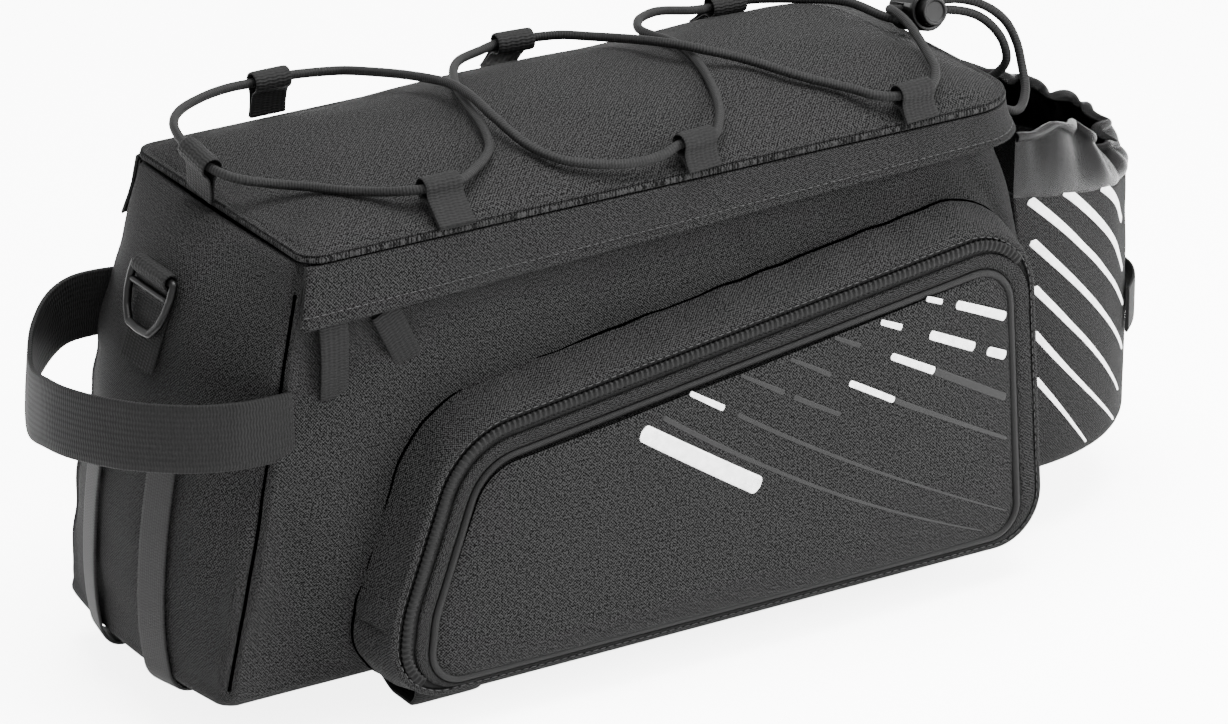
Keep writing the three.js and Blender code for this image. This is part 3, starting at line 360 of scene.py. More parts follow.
def math_node(tree, operation, first, second=None, third=None, clamp=False):
    """A Math node whose inputs are sockets or plain numbers."""
    node = tree.nodes.new("ShaderNodeMath")
    node.operation = operation
    node.use_clamp = clamp
    for socket, value in zip(node.inputs, (first, second, third)):
        if value is None:
            continue
        if isinstance(value, (int, float)):
            socket.default_value = value
        else:
            tree.links.new(value, socket)
    return node.outputs[0]


def noise_node(tree, vector, scale, detail=3.0, roughness=0.6):
    """A Noise node's grey value over a vector."""
    node = tree.nodes.new("ShaderNodeTexNoise")
    node.inputs["Scale"].default_value = scale
    node.inputs["Detail"].default_value = detail
    node.inputs["Roughness"].default_value = roughness
    tree.links.new(vector, node.inputs["Vector"])
    return node.outputs["Fac"]


def weave_group():
    """Plain weave. Threads cross at the given pitch: the height is the product of one sine along
    and one across, and each thread's own shade is a noise drawn out along it."""
    group, given, made = new_group(
        "weave", [("UV", "vector"), ("Threads", "float"), ("Unevenness", "float")],
        [("Height", "float"), ("Shade", "float")])
    parts = group.nodes.new("ShaderNodeSeparateXYZ")
    group.links.new(given.outputs["UV"], parts.inputs[0])
    turns = math_node(group, "MULTIPLY", given.outputs["Threads"], math.pi)
    u = math_node(group, "SINE", math_node(group, "MULTIPLY", parts.outputs["X"], turns))
    v = math_node(group, "SINE", math_node(group, "MULTIPLY", parts.outputs["Y"], turns))
    cross = math_node(group, "MULTIPLY", u, v)
    group.links.new(math_node(group, "MULTIPLY_ADD", cross, 0.5, 0.5), made.inputs["Height"])
    fleck = noise_node(group, given.outputs["UV"], 1250, 2, 0.75)
    cross_tone = math_node(group, "MULTIPLY_ADD", cross, 0.12, fleck)
    mixed = math_node(group, "MINIMUM", cross_tone, 1.0)
    centred = math_node(group, "SUBTRACT", mixed, 0.5)
    spread = math_node(group, "MULTIPLY", centred, given.outputs["Unevenness"])
    group.links.new(math_node(group, "ADD", spread, 0.5, clamp=True), made.inputs["Shade"])
    return group


def rib_group():
    """Ribbed webbing. Ribs run along the band, and fine cross threads slant to and fro between
    them: a sine across, plus a sine along whose phase follows a triangle across."""
    group, given, made = new_group(
        "ribs", [("UV", "vector"), ("Ribs", "float"), ("Threads", "float")],
        [("Height", "float"), ("Shade", "float")])
    parts = group.nodes.new("ShaderNodeSeparateXYZ")
    group.links.new(given.outputs["UV"], parts.inputs[0])
    across = math_node(group, "MULTIPLY", parts.outputs["X"], given.outputs["Ribs"])
    zigzag = math_node(group, "PINGPONG", across, 1.0)
    slant = math_node(group, "MULTIPLY_ADD", zigzag, 2.2,
                      math_node(group, "MULTIPLY", math_node(group, "MULTIPLY", parts.outputs["Y"],
                                                             given.outputs["Threads"]), 2 * math.pi))
    rib = math_node(group, "COSINE", math_node(group, "MULTIPLY", across, 2 * math.pi))
    thread = math_node(group, "SINE", slant)
    height = math_node(group, "MULTIPLY_ADD", rib, 0.22, math_node(group, "MULTIPLY_ADD", thread, 0.3, 0.5))
    group.links.new(height, made.inputs["Height"])
    speck = noise_node(group, given.outputs["UV"], 1100, 2)
    group.links.new(math_node(group, "MULTIPLY_ADD", thread, 0.18, speck, clamp=True), made.inputs["Shade"])
    return group


def wear_group():
    """Use and handling: slow clouds that lighten and dull the surface a little."""
    group, given, made = new_group("handling", [("Place", "vector"), ("Size", "float")], [("Shade", "float")])
    scaled = group.nodes.new("ShaderNodeVectorMath")
    scaled.operation = "SCALE"
    group.links.new(given.outputs["Place"], scaled.inputs[0])
    group.links.new(given.outputs["Size"], scaled.inputs["Scale"])
    group.links.new(noise_node(group, scaled.outputs[0], 1.0, 4), made.inputs["Shade"])
    return group


WEAVE, RIBS, HANDLING = weave_group(), rib_group(), wear_group()


def base_material(name):
    """A new material, its node tree and its shader."""
    material = bpy.data.materials.new(name)
    material.use_nodes = True
    tree = material.node_tree
    return material, tree, tree.nodes["Principled BSDF"]


def group_node(tree, group, **values):
    """A node group placed in a tree, with values for its inputs."""
    node = tree.nodes.new("ShaderNodeGroup")
    node.node_tree = group
    for label, value in values.items():
        node.inputs[label].default_value = value
    return node


def shade_between(tree, factor, dark, light, target):
    """A colour ramp from dark to light over a factor, into a colour socket."""
    ramp = tree.nodes.new("ShaderNodeValToRGB")
    ramp.color_ramp.elements[0].position = 0.25
    ramp.color_ramp.elements[0].color = (*dark, 1)
    ramp.color_ramp.elements[1].position = 0.75
    ramp.color_ramp.elements[1].color = (*light, 1)
    tree.links.new(factor, ramp.inputs[0])
    tree.links.new(ramp.outputs[0], target)


def bump_into(tree, shader, height, distance):
    """Relief from a height into the shader's normal."""
    bump = tree.nodes.new("ShaderNodeBump")
    bump.inputs["Distance"].default_value = distance
    bump.inputs["Strength"].default_value = 1.0
    tree.links.new(height, bump.inputs["Height"])
    tree.links.new(bump.outputs[0], shader.inputs["Normal"])


def cloth_material(name, dark, light, threads=1700.0, roughness=(0.75, 0.92), relief=0.00024, uneven=5.0,
                   gloss=0.04, crease=0.0):
    """Woven cloth on the piece's own UV: flecked threads, a fine weave in relief, and slow clouds
    of handling over it. crease adds soft crumples to thin cloth."""
    material, tree, shader = base_material(name)
    place = tree.nodes.new("ShaderNodeTexCoord")
    uv = tree.nodes.new("ShaderNodeUVMap")
    uv.uv_map = "cloth"
    weave = group_node(tree, WEAVE, Threads=threads, Unevenness=uneven)
    tree.links.new(uv.outputs[0], weave.inputs["UV"])
    handling = group_node(tree, HANDLING, Size=22.0)
    tree.links.new(place.outputs["Object"], handling.inputs["Place"])
    tone = math_node(tree, "MULTIPLY_ADD", handling.outputs["Shade"], 0.12,
                     math_node(tree, "MULTIPLY", weave.outputs["Shade"], 0.9), clamp=True)
    shade_between(tree, tone, dark, light, shader.inputs["Base Color"])
    rough = tree.nodes.new("ShaderNodeMapRange")
    rough.inputs["To Min"].default_value, rough.inputs["To Max"].default_value = roughness
    tree.links.new(handling.outputs["Shade"], rough.inputs["Value"])
    tree.links.new(rough.outputs[0], shader.inputs["Roughness"])
    shader.inputs["Specular IOR Level"].default_value = gloss
    height = weave.outputs["Height"]
    if crease:
        soft = noise_node(tree, place.outputs["Object"], 70, 3, 0.5)
        height = math_node(tree, "MULTIPLY_ADD", soft, crease, height)
    bump_into(tree, shader, height, relief)
    return material


def webbing_material(name, dark, light, ribs=500.0, relief=0.00025):
    """Ribbed webbing on the band's own UV."""
    material, tree, shader = base_material(name)
    uv = tree.nodes.new("ShaderNodeUVMap")
    uv.uv_map = "cloth"
    rib = group_node(tree, RIBS, Ribs=ribs, Threads=900.0)
    tree.links.new(uv.outputs[0], rib.inputs["UV"])
    shade_between(tree, rib.outputs["Shade"], dark, light, shader.inputs["Base Color"])
    shader.inputs["Roughness"].default_value = 0.72
    shader.inputs["Specular IOR Level"].default_value = 0.1
    bump_into(tree, shader, rib.outputs["Height"], relief)
    return material


def moulded_material(name, colour, roughness, grain=0.00002, gloss=0.3):
    """Moulded plastic or painted metal: one colour, slightly uneven gloss and a fine grain."""
    material, tree, shader = base_material(name)
    place = tree.nodes.new("ShaderNodeTexCoord")
    handling = group_node(tree, HANDLING, Size=300.0)
    tree.links.new(place.outputs["Object"], handling.inputs["Place"])
    shade_between(tree, handling.outputs["Shade"], [c * 0.8 for c in colour], [c * 1.25 for c in colour],
                  shader.inputs["Base Color"])
    rough = tree.nodes.new("ShaderNodeMapRange")
    rough.inputs["To Min"].default_value, rough.inputs["To Max"].default_value = roughness
    tree.links.new(handling.outputs["Shade"], rough.inputs["Value"])
    tree.links.new(rough.outputs[0], shader.inputs["Roughness"])
    shader.inputs["Specular IOR Level"].default_value = gloss
    bump_into(tree, shader, noise_node(tree, place.outputs["Object"], 2500, 2), grain)
    return material


def grey(value):
    """A neutral colour."""
    return (value, value, value)


CANVAS = cloth_material("charcoal_canvas", grey(0.0001), grey(0.0145))
PLAIN_CLOTH = cloth_material("smooth_nylon", grey(0.001), grey(0.0035), threads=2200.0, roughness=(0.5, 0.68),
                             relief=0.0001, uneven=0.9, gloss=0.1, crease=1.5)
COATED = cloth_material("coated_nylon", grey(0.0004), grey(0.0012), threads=2600.0, roughness=(0.16, 0.3),
                        relief=0.0006, uneven=0.6, gloss=0.12, crease=3.0)
BLACK_WEBBING = webbing_material("black_webbing", grey(0.0004), grey(0.0034))
GREY_WEBBING = webbing_material("grey_webbing", grey(0.0035), grey(0.0095), ribs=900.0, relief=0.0001)
CORD_BRAID = webbing_material("braided_elastic", grey(0.001), grey(0.007), ribs=500.0, relief=0.00015)
ZIP_TAPE = webbing_material("zip_tape", grey(0.0006), grey(0.002), ribs=1200.0, relief=0.0001)
ZIP_COIL = moulded_material("zip_coil_nylon", grey(0.0008), (0.4, 0.55), gloss=0.07)
PLASTIC = moulded_material("moulded_plastic", grey(0.0007), (0.3, 0.5), gloss=0.12)
# Near black and without gloss: painted shadow for the dark lines in the seams
SEAM_SHADOW_PAINT = moulded_material("painted_seam_shadow", grey(0.0001), (0.8, 0.9), gloss=0.0)
SLIDER_PAINT = moulded_material("slider_paint", grey(0.003), (0.35, 0.5))
THREAD = moulded_material("sewing_thread", grey(0.004), (0.6, 0.8))
SILVER_PRINT = moulded_material("reflective_print", grey(0.5), (0.35, 0.5))
FADED_PRINT = moulded_material("faded_print", grey(0.006), (0.45, 0.6), gloss=0.1)

# How many columns a ring round the bag takes on its long sides, its ends and its corners
SIDE_COLUMNS, END_COLUMNS, CORNER_COLUMNS = 110, 44, 9
STRETCHES = np.array([SIDE_COLUMNS, CORNER_COLUMNS, END_COLUMNS, CORNER_COLUMNS] * 2)
STRETCH = np.append(np.repeat(np.arange(8), STRETCHES), 0)
SHARE = np.append(np.concatenate([np.arange(n) / n for n in STRETCHES]), 0)


def plan_ring(left, right, half, round_left, round_right, swell_left=0.0, swell_right=0.0):
    """x and y round the bag from the near side by the handle: straight sides, quarter circles at
    the corners, and ends swollen by their swell times one less the square of y over the half."""
    turn = np.pi / 2 * SHARE
    span = right - round_right - left - round_left
    zero = 0 * turn
    x = np.choose(STRETCH, np.broadcast_arrays(
        left + round_left + span * SHARE,
        right - round_right + round_right * np.sin(turn),
        right + zero,
        right - round_right + round_right * np.cos(turn),
        right - round_right - span * SHARE,
        left + round_left - round_left * np.sin(turn),
        left + zero,
        left + round_left - round_left * np.cos(turn)))
    y = np.choose(STRETCH, np.broadcast_arrays(
        -half + zero,
        -half + round_right - round_right * np.cos(turn),
        -half + round_right + 2 * (half - round_right) * SHARE,
        half - round_right + round_right * np.sin(turn),
        half + zero,
        half - round_left + round_left * np.cos(turn),
        half - round_left - 2 * (half - round_left) * SHARE,
        -half + round_left - round_left * np.sin(turn)))
    bow = 1 - np.clip(np.abs(y / half), 0, 1) ** 2
    x = x + np.where(x < (left + right) / 2, -swell_left, swell_right) * bow
    return x, y


def body_size(z, inset=0.0):
    """The body's left, right, half width, corner radii and swelling at a height."""
    at = np.clip(z / BODY_HEIGHT, 0, 1)
    below = np.clip(BOTTOM_ROUND - z, 0, BOTTOM_ROUND)
    back = inset + BOTTOM_ROUND - np.sqrt(BOTTOM_ROUND ** 2 - below ** 2)
    corner = CORNER + (LID_CORNER_RIGHT - CORNER) * np.minimum(at / 0.85, 1) ** 6
    return (-BODY_LENGTH / 2 + LEAN_LEFT * at + back, BODY_LENGTH / 2 - LEAN_RIGHT * at - back,
            BODY_WIDTH / 2 * smooth(BODY_HALF, at) - back, np.maximum(CORNER - inset, 2) + 0 * at,
            np.maximum(corner - inset, 2),
            SWELL_LEFT * smooth(BODY_LEFT, at), SWELL_RIGHT * smooth(BODY_RIGHT, at))


def side_face(z):
    """How far the long sides stand from the middle plane at a height."""
    return body_size(np.maximum(z, BOTTOM_ROUND))[2]


def left_face(y, z):
    """x of the handle end: the end's place less its swell, which fades with the square of y."""
    left, _, half, _, _, swell, _ = body_size(z)
    return left - swell * (1 - (y / half) ** 2)


def right_face(y, z):
    """x of the bottle end: the end's place plus its swell, which fades with the square of y."""
    _, right, half, _, _, _, swell = body_size(z)
    return right + swell * (1 - np.minimum(np.abs(y) / half, 1) ** 2)


def body_grid(z, inset=0.0, spine=0.0):
    """Rings of the body at heights z, each drawn towards the bottom's middle line by a share."""
    z = np.asarray(z, float)[:, None]
    x, y = plan_ring(*body_size(z, inset))
    spine = np.broadcast_to(np.asarray(spine, float), (len(z),))[:, None]
    middle = np.clip(x, -BODY_LENGTH / 2 + 60, BODY_LENGTH / 2 - 60)
    return np.stack([x + (middle - x) * spine, y * (1 - spine), z + 0 * x], -1)


RIM_HEIGHT = BODY_HEIGHT - LID_THICKNESS - 2 * FIT
# The body's padding between its seams, how deep the seams draw it in, and the radius of the dark tube painted
# as the shadow in its corner seams
BODY_PUFF, CORNER_DRAW, BOTTOM_DRAW, BOTTOM_SEAM_HEIGHT = 1.1, 1.4, 0.5, 7.0
SEAM_SHADOW_RADIUS = 0.65


def spread_rows(values, known, count):
    """Values at known rows brought to every row: a straight share between the rows on each side."""
    fine = np.arange(count)
    low = np.clip(np.searchsorted(known, fine, side="right") - 1, 0, len(known) - 2)
    t = ((fine - known[low]) / (known[low + 1] - known[low]))[:, None, None]
    return values[low] * (1 - t) + values[low + 1] * t


# Frames of the cloth run, and the cloth's weight and stiffness in Blender's own measures
CLOTH_FRAMES = 20
CLOTH_SETTINGS = {"vertex_group_mass": "held", "mass": 0.15, "quality": 6, "tension_stiffness": 20,
                  "compression_stiffness": 8, "bending_stiffness": 0.4, "use_pressure": True}


def filled_out(grid, held, fullness, push, limit, steps=(2, 3)):
    """How far each point of a closed ring of cloth moves when its padding fills it. A coarse copy
    of the grid is run as cloth, cut a little too wide, held where held is 1 and
    pushed outwards. Its moves, no longer than the limit, are spread over the fine grid."""
    rows = np.unique(np.append(np.arange(0, len(grid), steps[0]), len(grid) - 1))
    columns = np.arange(0, grid.shape[1] - 1, steps[1])
    coarse = grid[np.ix_(rows, columns)]
    index = np.arange(coarse.shape[0] * coarse.shape[1]).reshape(coarse.shape[:2])
    after = np.roll(index, -1, 1)
    quads = np.stack([index[:-1], after[:-1], after[1:], index[1:]], -1).reshape(-1, 4)
    mesh = bpy.data.meshes.new("filling")
    mesh.from_pydata((coarse.reshape(-1, 3) / 1000).tolist(), [], quads.tolist())
    out = normals(coarse)[len(rows) // 2]
    face = np.array(mesh.polygons[len(quads) // 2].normal)
    if face @ out[len(quads) // 2 % len(columns)] < 0:
        mesh.flip_normals()
    sheet = bpy.data.objects.new("filling", mesh)
    bpy.context.scene.collection.objects.link(sheet)
    group = sheet.vertex_groups.new(name="held")
    fixed = np.nonzero(held[np.ix_(rows, columns)].ravel() > 0.5)[0]
    group.add(fixed.tolist(), 1.0, "REPLACE")
    cloth = sheet.modifiers.new("cloth", "CLOTH")
    for setting, value in CLOTH_SETTINGS.items():
        setattr(cloth.settings, setting, value)
    cloth.settings.shrink_min = -fullness
    cloth.settings.uniform_pressure_force = push
    cloth.settings.effector_weights.gravity = 0
    cloth.point_cache.frame_start, cloth.point_cache.frame_end = 1, CLOTH_FRAMES
    scene = bpy.context.scene
    for moment in range(1, CLOTH_FRAMES + 1):
        scene.frame_set(moment)
    shape = sheet.evaluated_get(bpy.context.evaluated_depsgraph_get()).data
    place = np.empty(len(shape.vertices) * 3)
    shape.vertices.foreach_get("co", place)
    move = place.reshape(coarse.shape) * 1000 - coarse
    scene.frame_set(1)
    bpy.data.objects.remove(sheet)
    bpy.data.meshes.remove(mesh)
    length = np.linalg.norm(move, axis=-1, keepdims=True)
    move *= limit * np.tanh(length / limit) / np.maximum(length, 1e-6)
    move = np.concatenate([move, move[:, :1]], 1)
    columns = np.append(columns, grid.shape[1] - 1)
    move = spread_rows(move, rows, len(grid))
    move = spread_rows(move.swapaxes(0, 1), columns, grid.shape[1]).swapaxes(0, 1)
    for _ in range(3):
        ring = move[:, :-1]
        ring = (np.roll(ring, 1, 1) + 2 * ring + np.roll(ring, -1, 1)) / 4
        ring[1:-1] = (ring[:-2] + 2 * ring[1:-1] + ring[2:]) / 4
        move = np.concatenate([ring, ring[:, :1]], 1)
    return move


def make_body():
    """The body's outside from the bottom's middle line up to the rim, and its inside down again.
    The outside is rippled along its normal, drawn in at the sewn corners and along the bottom."""
    rise = np.concatenate([BOTTOM_ROUND * np.sin(np.linspace(0, np.pi / 2, 6))[:-1] ** 2,
                           np.linspace(BOTTOM_ROUND, RIM_HEIGHT, 60)])
    under = body_grid(np.zeros(9), 0.0, np.linspace(1, 0.02, 9))
    outside = body_grid(rise)
    out = normals(outside)
    x, y, z = np.moveaxis(outside, -1, 0)
    fade = np.clip(z / 12, 0, 1) * np.clip((RIM_HEIGHT - 14 - z) / 20, 0, 1)
    hills = 0.9 * ripple(outside * (1, 0.4, 1), 75, 3) + 0.45 * ripple(outside, 28, 4)
    on_end = (STRETCH == 6) | (STRETCH == 2)
    columns = np.arange(len(STRETCH))
    corners = np.cumsum(STRETCHES)
    left_seams = [corners[4] + CORNER_COLUMNS // 2 + 1, corners[6] + CORNER_COLUMNS // 2 + 1]
    seams = left_seams + [corners[0], corners[3]]
    gap = np.min([np.abs(columns - seam) for seam in seams], axis=0)
    seam = -CORNER_DRAW * np.exp(-(gap / 1.5) ** 2) * np.clip(z / 10, 0, 1)
    puff = BODY_PUFF * np.sin(np.pi * np.clip(z / 130, 0, 1)) * np.where(on_end, 0, 1)
    puff = puff * np.where(gap[None] < 3, 0.4, 1)
    bottom_seam = -BOTTOM_DRAW * np.exp(-((z - BOTTOM_SEAM_HEIGHT) / 1.2) ** 2)
    held = (z < BOTTOM_SEAM_HEIGHT) | (z > RIM_HEIGHT - 12) | (gap[None] < 2)
    on_side = np.clip((np.abs(y) - 50) / 8, 0, 1) * np.clip((right_face(y, z) - 6 - x) / 10, 0, 1)
    move = filled_out(outside, held, 0.05, 1.5, 3.0) * (on_side * fade)[..., None]
    outside = outside + move + out * (fade * (hills + puff) + seam + bottom_seam)[..., None]
    inside = body_grid(np.linspace(RIM_HEIGHT, WALL, 8), WALL)
    floor = body_grid(np.full(6, WALL), WALL, np.linspace(0.1, 1, 6))
    add_piece("padded_body", [np.concatenate([under, outside, inside, floor])], CANVAS, ["body_shell"])
    # Dark tubes painted as the shadow in the two corner seams at the handle end
    shadow_lines = []
    for column in left_seams:
        shadow_line = outside[6:-4, column] + out[6:-4, column] * 0.1
        shadow_lines.append(tube(resample(shadow_line, 160), SEAM_SHADOW_RADIUS, 10))
    add_piece("corner_seam_shadows", shadow_lines, SEAM_SHADOW_PAINT)


def lid_height(x, share):
    """The lid's crown over its edge: the crown times the rise along it and a curve across."""
    place = (x - LID_LEFT) / (LID_RIGHT - LID_LEFT)
    return LID_CROWN * smooth(LID_RISE, place) * (1 - (1 - share) ** 2.4)


def lid_grid(share, drop, tuck=0.0):
    """Rings of the lid from its edge (share 0) to its middle line (share 1), lowered by drop."""
    share, drop, tuck = (np.asarray(v, float)[:, None] for v in np.broadcast_arrays(share, drop, tuck))
    x, y = plan_ring(LID_LEFT + tuck, LID_RIGHT - tuck, LID_HALF - tuck, LID_CORNER_LEFT, LID_CORNER_RIGHT)
    end = LID_HALF * 0.9
    spine = np.clip(x, LID_LEFT + end, LID_RIGHT - end)
    x = x + (spine - x) * share
    return np.stack([x, y * (1 - share), BODY_HEIGHT - drop + lid_height(x, share)], -1)


def make_lid():
    """The lid's underside, its rounded edge and its crowned top. The top is rippled and creased along its
    edge seam."""
    turn = np.linspace(0, np.pi, 9)
    half = LID_THICKNESS / 2
    under = lid_grid(np.linspace(1, 0.03, 16), LID_THICKNESS)
    edge = lid_grid(np.zeros(9), half * (1 + np.cos(turn)), half * (1 - np.sin(turn)))
    top = lid_grid(np.linspace(0.012, 1, 46) ** 1.15, 0.0)
    share = (np.linspace(0.012, 1, 46) ** 1.15)[:, None]
    fade = np.clip(share / 0.15, 0, 1) * (1 - np.clip((share - 0.75) / 0.25, 0, 1) * 0.6)
    hills = 0.9 * ripple(top * (1, 1, 0), 62, 8) + 0.45 * ripple(top * (1, 1, 0), 24, 9)
    seam = -0.7 * np.exp(-((share - 0.05) / 0.02) ** 2)
    held = (share < 0.06) | (share > 0.97) | np.zeros(top.shape[:2], bool)
    top = top + filled_out(top, held, 0.05, 1.5, 2.2)
    top[..., 2] += fade * hills + seam
    lid_whole = np.concatenate([under, edge, top])
    flat = lid_whole[..., :2] / 1000
    lid = add_piece("padded_lid", [(lid_whole, flat)], CANVAS, ["lid_panel"])


def band_ring(z, out):
    """The band's ring: the lid's edge moved out, following the body at the handle end."""
    left = body_size(z)[0]
    return plan_ring(left, LID_RIGHT + out, LID_HALF + out, CORNER, LID_CORNER_RIGHT)


BAND_COLUMNS = np.arange(-4, int(np.cumsum(STRETCHES)[4]) + 5) % (len(STRETCH) - 1)


def make_flap():
    """The storm flap: a folded band with a hem, its lower edge slanting up towards the bottle end
    and standing out a little, rippled as it hangs."""
    steps = 26
    top_z = BODY_HEIGHT - LID_THICKNESS - FIT
    share = np.concatenate([np.linspace(0, 1, steps), np.linspace(1, 1, 5), np.linspace(1, 0, steps)])
    layer = np.concatenate([np.zeros(steps), np.linspace(0, 1, 7)[1:-1], np.ones(steps)])
    bulge = np.concatenate([np.zeros(steps), np.sin(np.linspace(0, np.pi, 7)[1:-1]), np.zeros(steps)])
    share, layer, bulge = share[:, None], layer[:, None], bulge[:, None]
    x_top, y_top = band_ring(np.array([[top_z]]), -layer * FLAP_THICKNESS)
    x_low, y_low = band_ring(np.array([[BODY_HEIGHT - FLAP_LEFT]]), FLAP_FLARE - layer * FLAP_THICKNESS)
    place = np.clip((x_low - LID_LEFT) / (LID_RIGHT - LID_LEFT), 0, 1)
    low = BODY_HEIGHT - FLAP_LEFT - (FLAP_RIGHT - FLAP_LEFT) * place
    curve_out = share ** 1.5
    grid = np.stack([x_top + (x_low - x_top) * curve_out, y_top + (y_low - y_top) * curve_out,
                     top_z + (low - top_z) * share - 0.5 * bulge], -1)[:, BAND_COLUMNS]
    out = normals(grid[:steps])
    out = np.concatenate([out, np.repeat(out[-1:], 5, 0), out[::-1]])
    swing = share * (0.7 * ripple(grid * (1, 1, 0.3), 60, 12) + 0.25 * ripple(grid, 20, 13))
    hem = 0.35 * np.exp(-((share - 0.86) / 0.05) ** 4) * (1 - layer)
    grid = grid + out * (swing + hem)[..., None]
    closed = np.concatenate([grid, grid[:1]]).transpose(1, 0, 2)
    add_piece("hemmed_flap", [capped(closed)], CANVAS, ["storm_flap"])
    row = int(steps * 0.8)
    sewn = grid[row] + out[row] * 0.05
    add_piece("flap_stitching", stitches(sewn, out[row]), THREAD)


# The zip's two pulls: place as a share of the body's length, tilt in radians and ripple seed
PULL_LENGTH, PULL_WIDTH, PULL_THICKNESS = 30.0, 11.0, 1.6
PULL_TUCK = 2.0
PULLS = {"1": (-0.3706, 0.0, 71), "2": (-0.311, 0.42, 72)}


def make_pulls():
    """The zip's webbing pulls, hung from their sliders: bands bowed out by a sine of their length."""
    share = np.linspace(0, 1, 30)
    for name, (place, tilt, seed) in PULLS.items():
        top = BODY_HEIGHT - FLAP_LEFT + PULL_TUCK - FIT - math.sin(tilt) * PULL_WIDTH / 2
        line = np.stack([place * BODY_LENGTH + math.sin(tilt) * share * PULL_LENGTH,
                         -(LID_HALF - 0.8 + 1.2 * np.sin(np.pi * share)),
                         top - math.cos(tilt) * share * PULL_LENGTH], 1)
        add_webbing(f"pull_{name}", line, (math.cos(tilt), 0, math.sin(tilt)), PULL_WIDTH, PULL_THICKNESS,
                    f"zip_pull_{name}", waviness=0.25, seed=seed)


def pocket_outline(out, out_right=None, out_bottom=None):
    """x and z round a pocket's panel: straight sides moved outwards, the right and the bottom one
    by their own amounts, joined by arcs that grow with the move. It starts at the lower left
    corner, goes up the handle side, along the top to the right, down and back."""
    moves = [out, out, out, out if out_right is None else out_right,
             out if out_bottom is None else out_bottom]
    corners = [(np.array([POCKET_CENTRE + x * POCKET_LENGTH / 2, POCKET_BASE + z * POCKET_HEIGHT]),
                r * POCKET_HEIGHT) for x, z, r in POCKET_CORNERS]
    count = len(corners)
    heading = [unit(corners[(i + 1) % count][0] - corners[i][0]) for i in range(count)]
    outward = [np.array([-h[1], h[0]]) for h in heading]
    foot = [corners[i][0] + outward[i] * moves[i] for i in range(count)]
    pieces, ends = [], []
    for i in range(count):
        j = i - 1
        cross = heading[j][0] * heading[i][1] - heading[j][1] * heading[i][0]
        gap = foot[i] - foot[j]
        tip = foot[j] + heading[j] * (gap[0] * heading[i][1] - gap[1] * heading[i][0]) / cross
        turn = math.acos(min(float(heading[j] @ heading[i]), 1.0))
        radius = max(corners[i][1] + (moves[i] + moves[j]) / 2, 1.0)
        back = radius * math.tan(turn / 2)
        start = tip - heading[j] * back
        centre = start - outward[j] * radius
        angle = -turn * np.linspace(0, 1, 14, endpoint=False)[:, None]
        spoke = start - centre
        pieces.append(centre + spoke * np.cos(angle) + np.array([-spoke[1], spoke[0]]) * np.sin(angle))
        ends.append((start, tip + heading[i] * back))
    runs = (8, 14, 60, 26, 60)
    ring = []
    for i in range(count):
        share = np.linspace(0, 1, runs[i], endpoint=False)[:, None]
        ring += [pieces[i], ends[i][1] + (ends[(i + 1) % count][0] - ends[i][1]) * share]
    ring = np.vstack(ring)
    return np.vstack([ring, ring[:1]])


def pocket_ring(outline, y):
    """An outline set up at the depth y in front of the middle plane, on the near side."""
    return np.stack([outline[:, 0], -np.broadcast_to(y, outline[:, 0].shape), outline[:, 1]], 1)


def both_sides(patches):
    """The near side's grids, and the same mirrored on the far side."""
    flip = np.array([1, -1, 1])
    mirrored = [(p[0] * flip, p[1]) if isinstance(p, tuple) else p * flip for p in patches]
    return (("near", patches), ("far", mirrored))


def add_both(name, patches, material, node=None):
    """A piece on each long side. node is the name of the CAD nodes that they replace, without its
    side."""
    return [add_piece(f"{name}_{side}", grids, material, [f"{node}_{side}"] if node else ())
            for side, grids in both_sides(patches)]


def panel_depth(x, z):
    """How far the panel stands from the middle plane: a dome over its middle, flat at its piping."""
    across = np.clip(np.abs(x - POCKET_CENTRE) / (POCKET_LENGTH / 2), 0, 1)
    up = np.clip(np.abs(z - POCKET_BASE - POCKET_HEIGHT * 0.45) / (POCKET_HEIGHT * 0.62), 0, 1)
    spot = np.stack([x, 0 * x, z], -1)
    hills = 0.45 * ripple(spot, 70, 21) + 0.2 * ripple(spot, 26, 22)
    dome = (1 - across ** 2.6) * (1 - up ** 2.2)
    return POCKET_FRONT + 0.8 + POCKET_DOME * dome ** 0.7 + hills * dome ** 0.5


